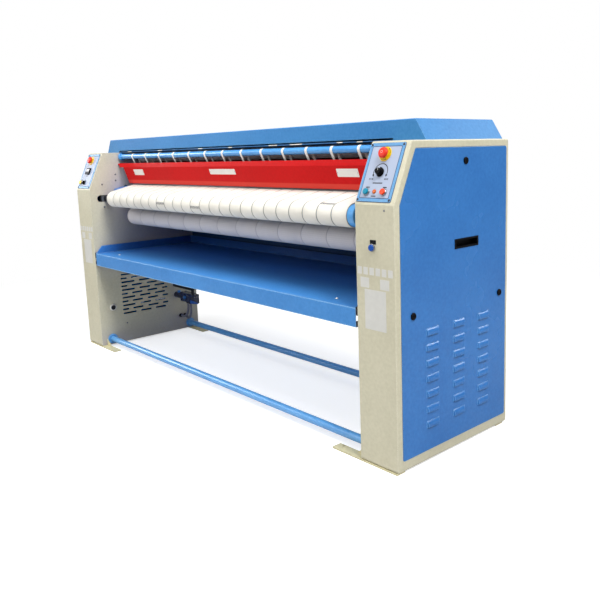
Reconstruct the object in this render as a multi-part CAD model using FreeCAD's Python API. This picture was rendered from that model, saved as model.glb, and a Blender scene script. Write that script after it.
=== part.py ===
import FreeCAD, Part
import math
import os

from FreeCAD import Matrix, Vector

# Flatwork ironer with a heated cylinder: sheets go in at the front over the feed belts, pass
# round the cylinder under the ironing belts, and drop from the lower roller into the tray.
# Millimetres. X is the length (right positive), Y the depth (back positive), Z is up.
# The origin is on the floor, in the middle of the four floor bolts.

# ---------------------------------------------------------------- driving dimensions
HALF_LENGTH = 1500.0                 # middle to the outer side of a housing
HOUSING_WIDTH = 212.0
WALL_X = HALF_LENGTH - HOUSING_WIDTH  # inner face of a housing
HALF_DEPTH = 388.0
FOOT_THICKNESS = 8.0
SLOPE_FOOT_Z = 1103.0                # where the front bends back to carry the control panel
SLOPE_TOP_Y = -279.0
HOUSING_TOP = 1350.0
SHEET = 2.5                          # sheet steel of the housings
WALL_PLATE = 4.0                     # inner wall that carries the bearings
BEND_RADIUS = 12.0
SIDE_BEND_RADIUS = 6.0

CYLINDER_Y, CYLINDER_Z = 90.0, 1120.0
CYLINDER_RADIUS = 175.0
CYLINDER_HALF_FACE = 1250.0
BELT_GAP = 0.4                       # between a belt and the roller that it runs on
SHAFT_CLEARANCE = 0.05               # radial, between a shaft and its bearing

# name: (Y, Z, tube radius, half of the tube's face, shaft radius)
ROLLERS = {
    "feed_roller_front": (-272.0, 1040.0, 50.0, 1205.0, 20.0),
    "feed_roller_rear": (-125.0, 1106.0, 20.0, 1190.0, 12.0),
    "tape_roller_upper": (-144.0, 1322.0, 17.0, 1278.0, 12.0),
    "tape_roller_lower": (-89.6, 1210.9, 16.0, 1150.0, 10.0),
    "ironing_roller_upper_front": (-12.0, 1317.0, 30.0, 1240.0, 15.0),
    "ironing_roller_lower_front": (-98.0, 909.0, 57.0, 1232.0, 20.0),
    "ironing_roller_rear_lower": (250.0, 850.0, 30.0, 1240.0, 15.0),
    "ironing_roller_rear_upper": (322.0, 1315.0, 30.0, 1240.0, 15.0),
}

FEED_ROLLER_LEFT_FACE = 1172.0       # the belts reach the end of the tube on the left
TAPE_FLANGE_RADIUS, TAPE_FLANGE_WIDTH = 26.0, 18.0

FEED_BELTS, FEED_BELT_PITCH, FEED_BELT_WIDTH, FEED_BELT_THICKNESS = 24, 97.5, 95.0, 3.0
TAPES, TAPE_PITCH, TAPE_WIDTH, TAPE_THICKNESS = 13, 181.0, 17.0, 1.5
IRONING_BELT_HALF_WIDTH, IRONING_BELT_THICKNESS = 1227.0, 3.0

SLOPE_LENGTH = math.hypot(SLOPE_TOP_Y + HALF_DEPTH, HOUSING_TOP - SLOPE_FOOT_Z)
SLOPE_UP = Vector(0, (SLOPE_TOP_Y + HALF_DEPTH) / SLOPE_LENGTH,
                  (HOUSING_TOP - SLOPE_FOOT_Z) / SLOPE_LENGTH)
SLOPE_OUT = Vector(1, 0, 0).cross(SLOPE_UP)

HOUSING_OUTLINE = [
    (-HALF_DEPTH, FOOT_THICKNESS), (HALF_DEPTH, FOOT_THICKNESS), (HALF_DEPTH, HOUSING_TOP),
    (SLOPE_TOP_Y, HOUSING_TOP), (-HALF_DEPTH, SLOPE_FOOT_Z)]
COVER_OUTLINE = [
    (-356.0, 52.0), (369.0, 52.0), (369.0, 1318.0), (-259.0, 1318.0), (-356.0, 1100.0)]

os.makedirs("parts", exist_ok=True)


# ---------------------------------------------------------------- shape helpers
def save(name, *solids):
    """Writes one node; several solids in a node stay separate."""
    shape = solids[0] if len(solids) == 1 else Part.makeCompound(list(solids))
    shape.exportStep("parts/" + name + ".step")


def block(x, y, z):
    """A block between the low and high value of each axis."""
    return Part.makeBox(x[1] - x[0], y[1] - y[0], z[1] - z[0], Vector(x[0], y[0], z[0]))


def bar(radius, x0, x1, y, z):
    """A round bar along X."""
    return Part.makeCylinder(radius, x1 - x0, Vector(x0, y, z), Vector(1, 0, 0))


def inset(outline, distance):
    """A convex outline, anticlockwise, moved inwards; a negative distance moves it outwards."""
    lines = []
    for (y0, z0), (y1, z1) in zip(outline, outline[1:] + outline[:1]):
        length = math.hypot(y1 - y0, z1 - z0)
        dy, dz = (y1 - y0) / length, (z1 - z0) / length
        lines.append((y0 - dz * distance, z0 + dy * distance, dy, dz))
    corners = []
    for (ya, za, ua, va), (yb, zb, ub, vb) in zip(lines[-1:] + lines[:-1], lines):
        along = ((yb - ya) * vb - (zb - za) * ub) / (ua * vb - va * ub)
        corners.append((ya + ua * along, za + va * along))
    return corners


def slab(outline, x0, x1, radius=0.0):
    """An outline in Y and Z, its corners rounded, made solid from x0 to x1."""
    points = [Vector(x0, y, z) for y, z in outline]
    edges, starts = [], []
    for before, corner, after in zip(points[-1:] + points[:-1], points, points[1:] + points[:1]):
        if not radius:
            starts.append((corner, corner))
            continue
        back, ahead = (before - corner).normalize(), (after - corner).normalize()
        half = back.getAngle(ahead) / 2
        reach = radius / math.tan(half)
        middle = (back + ahead).normalize()
        centre = corner + middle * (radius / math.sin(half))
        ends = (corner + back * reach, corner + ahead * reach)
        edges.append(Part.Arc(ends[0], centre - middle * radius, ends[1]).toShape())
        starts.append(ends)
    for (_, leave), (arrive, _) in zip(starts, starts[1:] + starts[:1]):
        edges.append(Part.LineSegment(leave, arrive).toShape())
    wire = Part.Wire(Part.__sortEdges__(edges))
    return Part.Face(wire).extrude(Vector(x1 - x0, 0, 0))


def bent_sheet(points, thickness, x0, x1):
    """A sheet folded along X: points give its outer face in Y and Z, the sheet lies left of them."""
    far = []
    for i, (y, z) in enumerate(points):
        normals = []
        for (ya, za), (yb, zb) in zip(points[max(i - 1, 0):i + 1], points[max(i, 1):i + 2]):
            length = math.hypot(yb - ya, zb - za)
            normals.append((-(zb - za) / length, (yb - ya) / length))
        if len(normals) == 1:
            normals = normals * 2
        (ny, nz), (my, mz) = normals[0], normals[-1]
        scale = thickness / (1 + ny * my + nz * mz)
        far.append((y + (ny + my) * scale, z + (nz + mz) * scale))
    return slab(points + far[::-1], x0, x1)


def loop_wire(circles, x):
    """A closed path round circles (Y, Z, signed radius): a positive one is inside the loop."""
    count = len(circles)
    headings = []
    for i in range(count):
        (y0, z0, r0), (y1, z1, r1) = circles[i], circles[(i + 1) % count]
        turn = math.acos((r0 - r1) / math.hypot(y1 - y0, z1 - z0))
        headings.append(math.atan2(z1 - z0, y1 - y0) - turn)

    def point(circle, angle):
        y, z, r = circle
        return Vector(x, y + r * math.cos(angle), z + r * math.sin(angle))

    edges = []
    for i, circle in enumerate(circles):
        start, end = headings[i - 1], headings[i]
        sweep = (end - start) % (2 * math.pi)
        if circle[2] < 0:
            sweep -= 2 * math.pi
        edges.append(Part.Arc(point(circle, start), point(circle, start + sweep / 2),
                              point(circle, end)).toShape())
        edges.append(Part.LineSegment(point(circle, end),
                                      point(circles[(i + 1) % count], end)).toShape())
    return Part.Wire(edges)


def belt(circles, thickness, x0, width):
    """A closed belt on circles (Y, Z, radius, side); side 1 is inside the loop, -1 outside."""
    near = [(y, z, r + BELT_GAP if side > 0 else -(r + BELT_GAP + thickness))
            for y, z, r, side in circles]
    far = [(y, z, r + BELT_GAP + thickness if side > 0 else -(r + BELT_GAP))
           for y, z, r, side in circles]
    outside = Part.Face(loop_wire(far, x0)).extrude(Vector(width, 0, 0))
    inside = Part.Face(loop_wire(near, x0)).extrude(Vector(width, 0, 0))
    return outside.cut(inside)


def turned(points, y, z):
    """A turned piece: its outline in X and radius, spun round an axis along X."""
    outline = Part.makePolygon([Vector(px, y, z + pr) for px, pr in points + points[:1]])
    return Part.Face(outline).revolve(Vector(0, y, z), Vector(1, 0, 0), 360)


def spun(points):
    """A turned piece about Z: its outline in radius and height."""
    outline = Part.makePolygon([Vector(r, 0, h) for r, h in points + points[:1]])
    return Part.Face(outline).revolve(Vector(0, 0, 0), Vector(0, 0, 1), 360)


def on_panel(shape, x, up):
    """Places a shape made about Z on the sloping panel, at X and a distance up the slope."""
    origin = Vector(x, -HALF_DEPTH, SLOPE_FOOT_Z) + SLOPE_UP * up
    across = Vector(1, 0, 0)
    place = Matrix(across.x, SLOPE_UP.x, SLOPE_OUT.x, origin.x,
                   across.y, SLOPE_UP.y, SLOPE_OUT.y, origin.y,
                   across.z, SLOPE_UP.z, SLOPE_OUT.z, origin.z)
    placed = shape.copy()
    placed.Placement = FreeCAD.Placement(place).multiply(placed.Placement)
    return placed


def on_front(shape, x, z):
    """Places a shape made about Z on the upright front face, pointing forwards."""
    placed = shape.copy()
    turn = FreeCAD.Placement(Vector(x, -HALF_DEPTH, z), FreeCAD.Rotation(Vector(1, 0, 0), 90))
    placed.Placement = turn.multiply(placed.Placement)
    return placed


def left_of(shape):
    """The left-hand twin of a right-hand piece."""
    return shape.mirror(Vector(0, 0, 0), Vector(1, 0, 0))


def both_sides(shape):
    return [shape, left_of(shape)]


# ---------------------------------------------------------------- control positions
PANEL_FRAME = (185.0, 249.0)
PANEL_PLATE = (157.0, 219.0)
PANEL_WINDOW = (150.0, 210.0)
PANEL_THICKNESS = 3.0
PANEL_MIDDLE_UP = 135.5
RIGHT_PANEL_X, LEFT_PANEL_X = 1384.5, -1394.0
ESTOP_UP, DIAL_UP, BUTTON_UP = 212.0, 134.0, 51.0
RIGHT_ESTOP_X, LEFT_ESTOP_X = 1384.0, -1404.0
START_X, STOP_X, LAMP_X = 1338.0, 1430.0, 1380.0
ALARM_X, SELECTOR_X = -1456.0, -1402.0
RESET_X, RESET_Z = 1380.0, 931.0

ESTOP_STEM, ESTOP_COLLAR, ESTOP_CAP = 9.0, 31.5, 22.5
BUTTON_RADIUS, BEZEL_RADIUS = 12.5, 16.0
KNOB_SHAFT = 4.0
BUTTON_CLEARANCE = 0.4
STEM_DEPTH = 12.0                    # how far a stem reaches behind the panel's face


# ---------------------------------------------------------------- housings
def window(x, size, depth):
    """A cut through the sloping front, centred on a panel."""
    width, height = size
    tool = block((-width / 2, width / 2), (-height / 2, height / 2), (-depth, depth))
    return on_panel(tool, x, PANEL_MIDDLE_UP)


COVER_GAP = 1.0
JOGGLE_DEPTH = 10.0
LEDGE = 14.0
LEDGE_BACK_X = HALF_LENGTH - SHEET - JOGGLE_DEPTH


def casing():
    """Folded shell of the right housing with a joggled opening for the side cover."""
    shell = slab(HOUSING_OUTLINE, WALL_X, HALF_LENGTH, BEND_RADIUS)
    rim = [e for e in shell.Edges if e.BoundBox.XMin > HALF_LENGTH - 0.01]
    shell = shell.makeFillet(SIDE_BEND_RADIUS, rim)
    hollow = slab(inset(HOUSING_OUTLINE, SHEET), WALL_X - 1, HALF_LENGTH - SHEET,
                  BEND_RADIUS - SHEET)
    opening = inset(COVER_OUTLINE, -COVER_GAP)
    shell = shell.cut(hollow).cut(slab(opening, HALF_LENGTH - 2 * SHEET, HALF_LENGTH + 1, 11.0))
    web = slab(inset(opening, -2.0), LEDGE_BACK_X, HALF_LENGTH - SHEET, 13.0)
    web = web.cut(slab(opening, LEDGE_BACK_X + 2.0, HALF_LENGTH, 11.0))
    web = web.cut(slab(inset(opening, LEDGE), LEDGE_BACK_X - 1, HALF_LENGTH, 4.0))
    return shell.fuse(web).removeSplitter()


WALL_HOLE_CLEARANCE = 7.0
TAKE_UP_SLOT = (-339.0, -206.0, 1018.0, 1064.0)
GUARD_PIVOT = (-164.0, 1268.0)
GUARD_PIN = 6.0
JOURNAL_LEFT, JOURNAL_BORE, JOURNAL_RIGHT = 45.0, 32.0, 30.0
FAN_Y, FAN_Z, FAN_INLET = 262.0, 1190.0, 52.0


def inner_wall(journal):
    """Inner wall of the right housing, with a hole for every shaft that it carries."""
    x1 = WALL_X + WALL_PLATE
    wall = slab(inset(HOUSING_OUTLINE, SHEET), WALL_X, x1, BEND_RADIUS - SHEET)
    holes = [bar(journal + WALL_HOLE_CLEARANCE, WALL_X - 1, x1 + 1, CYLINDER_Y, CYLINDER_Z),
             bar(GUARD_PIN + SHAFT_CLEARANCE, WALL_X - 1, x1 + 1, *GUARD_PIVOT)]
    for name, (y, z, _, _, shaft) in ROLLERS.items():
        if name != "feed_roller_front":
            holes.append(bar(shaft + WALL_HOLE_CLEARANCE, WALL_X - 1, x1 + 1, y, z))
    y0, y1, z0, z1 = TAKE_UP_SLOT
    holes.append(slab([(y0, z0), (y1, z0), (y1, z1), (y0, z1)], WALL_X - 1, x1 + 1,
                      (z1 - z0) / 2 - 0.01))
    return wall.cut(holes)


# Ventilation grille in the left wall: rows of staggered slots with round ends.
GRILLE_ROWS, GRILLE_PITCH, GRILLE_TOP = 11, 28.1, 493.0
GRILLE_SLOT_HEIGHT = 12.0
GRILLE_ODD = [(-214.0, -114.0), (-79.0, 5.0), (39.0, 123.0)]
GRILLE_EVEN = [(-217.0, -169.0), (-138.0, -57.0), (-19.0, 63.0), (99.0, 145.0)]


def grille_slots():
    slots = []
    half = GRILLE_SLOT_HEIGHT / 2
    for row in range(GRILLE_ROWS):
        z = GRILLE_TOP - row * GRILLE_PITCH
        for y0, y1 in (GRILLE_EVEN if row % 2 else GRILLE_ODD):
            ends = [(y0, z - half), (y1, z - half), (y1, z + half), (y0, z + half)]
            slots.append(slab(ends, -WALL_X - WALL_PLATE - 1, -WALL_X + 1, half - 0.01))
    return slots


# Removable side cover: a shallow pan with pressed louvres, a flush pull and three locks.
COVER_FACE_X = HALF_LENGTH + 1.5
COVER_SHEET = 1.5
LOUVRE_COLUMNS = (-165.0, 15.0, 193.5)
LOUVRE_ROWS, LOUVRE_PITCH, LOUVRE_TOP = 7, 66.6, 567.0
LOUVRE_LENGTH, LOUVRE_HEIGHT, LOUVRE_RISE = 82.0, 28.0, 7.5
PULL_Y, PULL_Z = (-14.0, 154.0), (891.0, 933.0)
PULL_DEPTH = 24.0
LOCKS = {"top": (63.0, 1261.0, 90.0), "rear": (316.0, 652.0, 0.0), "front": (-286.0, 650.0, 180.0)}
LOCK_SHANK, LOCK_HEAD = 9.0, 15.0


def louvre(wall, reach):
    """One pressed louvre about the origin, facing +X, its mouth down; wall shrinks it inwards."""
    top = LOUVRE_HEIGHT / 2 - wall
    mouth = -LOUVRE_HEIGHT / 2
    rise = LOUVRE_RISE - wall
    edges = [
        Part.Arc(Vector(0, 0, top), Vector(rise * 0.78, 0, top * 0.35),
                 Vector(rise, 0, mouth * 0.62)).toShape(),
        Part.LineSegment(Vector(rise, 0, mouth * 0.62), Vector(rise, 0, mouth)).toShape(),
        Part.LineSegment(Vector(rise, 0, mouth), Vector(-reach, 0, mouth)).toShape(),
        Part.LineSegment(Vector(-reach, 0, mouth), Vector(-reach, 0, top)).toShape(),
        Part.LineSegment(Vector(-reach, 0, top), Vector(0, 0, top)).toShape()]
    half = LOUVRE_LENGTH / 2 - wall
    hood = Part.Face(Part.Wire(edges)).extrude(Vector(0, 2 * half, 0))
    hood.translate(Vector(0, -half, 0))
    taper = Part.makePolygon([Vector(x, y, mouth - 1) for x, y in (
        (-reach - 1, -half), (0, -half), (rise, -half + rise), (rise, half - rise), (0, half),
        (-reach - 1, half), (-reach - 1, -half))])
    return hood.common(Part.Face(taper).extrude(Vector(0, 0, LOUVRE_HEIGHT + 2)))


def side_cover():
    """Right-hand side cover."""
    pan = slab(COVER_OUTLINE, COVER_FACE_X - 12.0, COVER_FACE_X, 10.0)
    pan = pan.cut(slab(inset(COVER_OUTLINE, COVER_SHEET), COVER_FACE_X - 13.0,
                       COVER_FACE_X - COVER_SHEET, 8.5))
    places = [Vector(COVER_FACE_X, y, LOUVRE_TOP - row * LOUVRE_PITCH)
              for y in LOUVRE_COLUMNS for row in range(LOUVRE_ROWS)]
    hoods, hollows = [], []
    for place in places:
        hood, hollow = louvre(0.0, 0.5), louvre(COVER_SHEET, COVER_SHEET + 1)
        hood.translate(place)
        hollow.translate(place)
        hoods.append(hood)
        hollows.append(hollow)
    pan = pan.fuse(hoods).cut(hollows)
    holes = [bar(LOCK_SHANK + BUTTON_CLEARANCE, COVER_FACE_X - 20, COVER_FACE_X + 1, y, z)
             for y, z, _ in LOCKS.values()]
    holes.append(block((COVER_FACE_X - 20, COVER_FACE_X + 1), (PULL_Y[0] + 8, PULL_Y[1] - 8),
                       (PULL_Z[0] + 6, PULL_Z[1] - 6)))
    return pan.cut(holes)


def flush_pull():
    """Black flush pull: a cup let into the cover, with a thin flange outside."""
    cup = block((COVER_FACE_X - PULL_DEPTH, COVER_FACE_X), (PULL_Y[0] + 8, PULL_Y[1] - 8),
                (PULL_Z[0] + 6, PULL_Z[1] - 6))
    flange = block((COVER_FACE_X, COVER_FACE_X + 2), PULL_Y, PULL_Z)
    hollow = block((COVER_FACE_X - PULL_DEPTH + 2, COVER_FACE_X + 3),
                   (PULL_Y[0] + 10, PULL_Y[1] - 10), (PULL_Z[0] + 8, PULL_Z[1] - 8))
    return cup.fuse(flange).cut(hollow)


def cover_lock(y, z, angle, edge_distance):
    """Quarter-turn lock: slotted head outside, tongue behind the ledge of the opening."""
    face = COVER_FACE_X + BUTTON_CLEARANCE
    back = LEDGE_BACK_X - BUTTON_CLEARANCE
    head = turned([(back, 0), (back, LOCK_SHANK), (face, LOCK_SHANK),
                   (face, LOCK_HEAD), (face + 4, LOCK_HEAD), (face + 6, LOCK_HEAD - 2),
                   (face + 6, 0)], 0, 0)
    slot = block((face + 3.5, face + 7), (-9, 9), (-1.5, 1.5))
    tongue = block((back - 3.5, back), (-8, edge_distance - 6), (-8, 8))
    lock = head.cut(slot).fuse(tongue)
    lock.rotate(Vector(0, 0, 0), Vector(1, 0, 0), angle)
    lock.translate(Vector(0, y, z))
    return lock


right_casing = casing().cut(window(RIGHT_PANEL_X, PANEL_WINDOW, 20.0))
right_casing = right_casing.cut(on_front(Part.makeCylinder(BUTTON_RADIUS + 1, 20, Vector(0, 0, -10)),
                                         RESET_X, RESET_Z))
left_casing = left_of(casing()).cut(window(LEFT_PANEL_X, PANEL_WINDOW, 20.0))

# The exhaust spigot leaves through the back of the left housing.
SPIGOT_RADIUS, SPIGOT_LENGTH, SPIGOT_BORE = 62.5, 45.0, 60.5
SPIGOT_NECK, NECK_LENGTH = 61.5, 3.0
FAN_X = (-1448.0, -1352.0)
SPIGOT_X = sum(FAN_X) / 2
spigot_hole = Part.makeCylinder(SPIGOT_NECK, 40, Vector(SPIGOT_X, HALF_DEPTH - 20, FAN_Z),
                                Vector(0, 1, 0))
GAS_PIPE_RADIUS, GAS_THREAD_RADIUS, GAS_THREAD_LENGTH = 12.5, 13.2, 25.0
GAS_INLET_X, GAS_INLET_Z = -1385.0, 640.0
gas_hole = Part.makeCylinder(GAS_PIPE_RADIUS, 40, Vector(GAS_INLET_X, HALF_DEPTH - 20, GAS_INLET_Z),
                             Vector(0, 1, 0))
left_casing = left_casing.cut([spigot_hole, gas_hole])
save("right_casing", right_casing)
save("left_casing", left_casing)

GAS_BAR_Y, GAS_BAR_Z, GAS_BAR_RADIUS = 200.0, 355.0, 11.0
left_wall = left_of(inner_wall(JOURNAL_LEFT)).cut(grille_slots())
left_wall = left_wall.cut([
    bar(GAS_BAR_RADIUS, -WALL_X - 10, -WALL_X + 1, GAS_BAR_Y, GAS_BAR_Z),
    bar(FAN_INLET, -WALL_X - 10, -WALL_X + 1, FAN_Y, FAN_Z)])
save("right_inner_wall", inner_wall(JOURNAL_RIGHT))
save("left_inner_wall", left_wall)

cover = side_cover()
save("right_side_cover", cover)
save("left_side_cover", left_of(cover))
save("cover_pulls", *both_sides(flush_pull()))
EDGE_DISTANCES = {"top": 1318.0 - 1261.0, "rear": 369.0 - 316.0, "front": 356.0 - 286.0}
for place, (lock_y, lock_z, lock_angle) in LOCKS.items():
    lock = cover_lock(lock_y, lock_z, lock_angle, EDGE_DISTANCES[place])
    save("right_cover_lock_" + place, lock)
    save("left_cover_lock_" + place, left_of(lock))


# ---------------------------------------------------------------- feet and tie bars
FOOT_INNER_X, FOOT_OUTER_X = 1105.0, 1494.0
FRONT_FOOT_Y, REAR_FOOT_Y = (-388.0, -338.0), (312.0, 364.0)
FLOOR_BOLT_X, FLOOR_BOLT_Y, FLOOR_BOLT_RADIUS = 1140.0, 350.0, 6.0
GUSSET_HEIGHT, GUSSET_REACH, GUSSET_THICKNESS = 44.0, 60.0, 6.0
FRONT_GUSSET_Y, REAR_GUSSET_Y = -352.0, 354.0


def foot(y, bolt_y, gusset_y):
    """Right-hand foot: a plate under the housing that reaches inwards, with a welded gusset."""
    plate = block((FOOT_INNER_X, FOOT_OUTER_X), y, (0, FOOT_THICKNESS))
    plate = plate.cut(Part.makeCylinder(FLOOR_BOLT_RADIUS, 20, Vector(FLOOR_BOLT_X, bolt_y, -5)))
    corner = [Vector(WALL_X, gusset_y, FOOT_THICKNESS),
              Vector(WALL_X - GUSSET_REACH, gusset_y, FOOT_THICKNESS),
              Vector(WALL_X, gusset_y, FOOT_THICKNESS + GUSSET_HEIGHT)]
    gusset = Part.Face(Part.makePolygon(corner + corner[:1])).extrude(Vector(0, GUSSET_THICKNESS, 0))
    return plate.fuse(gusset)


save("floor_feet", *both_sides(foot(FRONT_FOOT_Y, -FLOOR_BOLT_Y, FRONT_GUSSET_Y)),
     *both_sides(foot(REAR_FOOT_Y, FLOOR_BOLT_Y, REAR_GUSSET_Y)))

TIE_BAR_RADIUS, TIE_BAR_WALL, TIE_BAR_Z = 19.5, 3.0, 48.0
TIE_FLANGE_RADIUS, TIE_FLANGE_THICKNESS = 34.0, 9.0
FRONT_TIE_Y, REAR_TIE_Y = -309.0, 315.0


def tie_bar(y):
    """Tube between the housings with a round flange welded on each end."""
    flange_x = WALL_X - TIE_FLANGE_THICKNESS
    outline = [(-WALL_X, TIE_BAR_RADIUS - TIE_BAR_WALL), (-WALL_X, TIE_FLANGE_RADIUS),
               (-flange_x, TIE_FLANGE_RADIUS), (-flange_x, TIE_BAR_RADIUS),
               (flange_x, TIE_BAR_RADIUS), (flange_x, TIE_FLANGE_RADIUS),
               (WALL_X, TIE_FLANGE_RADIUS), (WALL_X, TIE_BAR_RADIUS - TIE_BAR_WALL)]
    return turned(outline, y, TIE_BAR_Z)


save("tie_bars", tie_bar(FRONT_TIE_Y), tie_bar(REAR_TIE_Y))


# ---------------------------------------------------------------- hood, rear panel, tray, feed table
HOOD_Y = (-154.0, 387.0)
HOOD_FOOT_X, HOOD_TOP_X, HOOD_TOP = 1468.0, 1412.0, 1439.0
HOOD_SHEET = 2.0
HOOD_LIP_Z = 1363.0


def hood():
    """Top hood: folded sheet with sloping ends, open below, its front edge above the tape roller."""
    def trapezium(shrink, y0, y1):
        slope = (HOOD_FOOT_X - HOOD_TOP_X) / (HOOD_TOP - HOUSING_TOP)
        foot_x, top_x = HOOD_FOOT_X - shrink, HOOD_TOP_X - shrink + shrink * slope
        top = HOOD_TOP - shrink
        low = HOUSING_TOP - (1 if shrink else 0)
        corners = [Vector(x, y0, z) for x, z in (
            (-foot_x, low), (foot_x, low), (top_x, top), (-top_x, top), (-foot_x, low))]
        return Part.Face(Part.makePolygon(corners)).extrude(Vector(0, y1 - y0, 0))

    shell = trapezium(0, *HOOD_Y)
    edges = [e for e in shell.Edges if e.BoundBox.ZMin > HOOD_TOP - 0.01]
    shell = shell.makeFillet(5.0, edges)
    shell = shell.cut(trapezium(HOOD_SHEET, HOOD_Y[0] + HOOD_SHEET, HOOD_Y[1] - HOOD_SHEET))
    return shell.cut(block((-WALL_X, WALL_X), (HOOD_Y[0] - 1, HOOD_Y[0] + 10),
                           (HOUSING_TOP - 1, HOOD_LIP_Z)))


save("hood", hood())

REAR_PANEL_Z = (640.0, 1350.0)
save("rear_panel", bent_sheet([(365.0, REAR_PANEL_Z[0]), (385.0, REAR_PANEL_Z[0]),
                               (385.0, REAR_PANEL_Z[1]), (365.0, REAR_PANEL_Z[1])],
                              2.0, -WALL_X, WALL_X))

TRAY_HALF = 1274.0
TRAY_LIP_Z, TRAY_FLOOR_Z, TRAY_SIDE_Z = 585.0, 668.0, 719.0
TRAY_FRONT_Y, TRAY_BACK_Y = -386.0, 360.0
TRAY_SHEET = 2.0


def tray():
    """Receiving tray: one folded sheet with a deep front lip, and a chamfered side at each end."""
    floor = bent_sheet([(TRAY_FRONT_Y + 14, TRAY_LIP_Z), (TRAY_FRONT_Y, TRAY_LIP_Z),
                        (TRAY_FRONT_Y, TRAY_FLOOR_Z), (TRAY_BACK_Y, TRAY_FLOOR_Z),
                        (TRAY_BACK_Y, TRAY_SIDE_Z)][::-1], TRAY_SHEET, -TRAY_HALF, TRAY_HALF)
    side = [(TRAY_FRONT_Y, TRAY_FLOOR_Z), (TRAY_BACK_Y, TRAY_FLOOR_Z), (TRAY_BACK_Y, TRAY_SIDE_Z),
            (TRAY_FRONT_Y + 45, TRAY_SIDE_Z)]
    sides = [slab(side, TRAY_HALF - TRAY_SHEET, TRAY_HALF),
             slab(side, -TRAY_HALF, -TRAY_HALF + TRAY_SHEET)]
    return floor.fuse(sides)


save("tray", tray())

BUFFERS = [((-386.0, -366.0), (592.0, 612.0)), ((-386.0, -366.0), (637.0, 673.0)),
           ((330.0, 350.0), (637.0, 673.0))]
WALL_PLUG_Y, WALL_PLUG_Z, WALL_PLUG_RADIUS = -290.0, 271.0, 22.0
buffers = [block((TRAY_HALF, WALL_X), y, z) for y, z in BUFFERS]
plug = turned([(-WALL_X, 0), (-WALL_X, WALL_PLUG_RADIUS), (-WALL_X + 6, WALL_PLUG_RADIUS - 2),
               (-WALL_X + 12, 12), (-WALL_X + 12, 0)], WALL_PLUG_Y, WALL_PLUG_Z)
save("rubber_buffers", *buffers, *[left_of(b) for b in buffers], plug)

save("feed_table", bent_sheet([(-216.0, 1084.0), (-210.0, 1100.0), (-152.0, 1113.8)], 2.0,
                              -WALL_X, WALL_X))


# ---------------------------------------------------------------- finger guard
GUARD_HALF, GUARD_EAR_HALF = 1207.0, 1268.0
GUARD_SHEET = 2.0
GUARD_TOP, GUARD_FOLD, GUARD_FOOT = (-168.0, 1277.0), (-171.0, 1250.0), (-134.0, 1139.0)


def finger_guard():
    """Hinged guard before the nip: a folded plate hung from a pin at each end."""
    plate = bent_sheet([GUARD_FOOT, GUARD_FOLD, GUARD_TOP][::-1], GUARD_SHEET,
                       -GUARD_HALF, GUARD_HALF)
    band = bent_sheet([GUARD_TOP, GUARD_FOLD], GUARD_SHEET, -GUARD_EAR_HALF, GUARD_EAR_HALF)
    y, z = GUARD_PIVOT
    lug = block((GUARD_EAR_HALF - 8, GUARD_EAR_HALF), (-169.0, -156.0), (1258.0, 1275.0))
    pin = bar(GUARD_PIN, GUARD_EAR_HALF, WALL_X + WALL_PLATE + 4, y, z)
    ends = [shape for piece in (lug, pin) for shape in both_sides(piece)]
    return plate.fuse([band] + ends)


save("finger_guard", finger_guard())


# ---------------------------------------------------------------- rollers, cylinder and bearings
SHAFT_END_X = WALL_X + WALL_PLATE + 30.0


def roller(y, z, radius, half_face, shaft, left_face=None):
    """Roller on a through shaft; its left face may stand closer to the middle than the right one."""
    left = -(left_face or half_face)
    return turned([(-SHAFT_END_X, 0), (-SHAFT_END_X, shaft), (left, shaft),
                   (left, radius - 2), (left + 2, radius), (half_face - 2, radius),
                   (half_face, radius - 2), (half_face, shaft), (SHAFT_END_X, shaft),
                   (SHAFT_END_X, 0)], y, z)


for roller_name, dimensions in ROLLERS.items():
    if roller_name == "feed_roller_front":
        save(roller_name, roller(*dimensions, left_face=FEED_ROLLER_LEFT_FACE))
    elif roller_name == "tape_roller_upper":
        roller_y, roller_z, _, roller_end, _ = dimensions
        flanges = [bar(TAPE_FLANGE_RADIUS, x, x + TAPE_FLANGE_WIDTH, roller_y, roller_z)
                   for x in (-roller_end, roller_end - TAPE_FLANGE_WIDTH)]
        save(roller_name, roller(*dimensions).fuse(flanges))
    else:
        save(roller_name, roller(*dimensions))

CYLINDER_WALL, END_DISC = 8.0, 12.0
JOURNAL_LEFT_X, JOURNAL_RIGHT_X = -1350.0, 1424.0
inner_radius = CYLINDER_RADIUS - CYLINDER_WALL
inner_face = CYLINDER_HALF_FACE - END_DISC
save("heated_cylinder", turned([
    (JOURNAL_LEFT_X, JOURNAL_BORE), (JOURNAL_LEFT_X, JOURNAL_LEFT),
    (-CYLINDER_HALF_FACE, JOURNAL_LEFT), (-CYLINDER_HALF_FACE, CYLINDER_RADIUS),
    (CYLINDER_HALF_FACE, CYLINDER_RADIUS), (CYLINDER_HALF_FACE, JOURNAL_RIGHT),
    (JOURNAL_RIGHT_X, JOURNAL_RIGHT), (JOURNAL_RIGHT_X, 0), (inner_face, 0),
    (inner_face, inner_radius), (-inner_face, inner_radius), (-inner_face, JOURNAL_BORE)],
    CYLINDER_Y, CYLINDER_Z))

BEARING_X = (WALL_X + WALL_PLATE, WALL_X + WALL_PLATE + 28.0)


def bearing(y, z, bore, half):
    """Flange bearing on the housing side of the right wall."""
    body = block(BEARING_X, (y - half, y + half), (z - half, z + half))
    return body.cut(bar(bore + SHAFT_CLEARANCE, BEARING_X[0] - 1, BEARING_X[1] + 1, y, z))


bearings = []
for y, z, _, _, shaft in ROLLERS.values():
    bearings += both_sides(bearing(y, z, shaft, shaft + 13.0))
bearings.append(bearing(CYLINDER_Y, CYLINDER_Z, JOURNAL_RIGHT, 60.0))
bearings.append(left_of(bearing(CYLINDER_Y, CYLINDER_Z, JOURNAL_LEFT, 66.0)))
save("shaft_bearings", *bearings)


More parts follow.
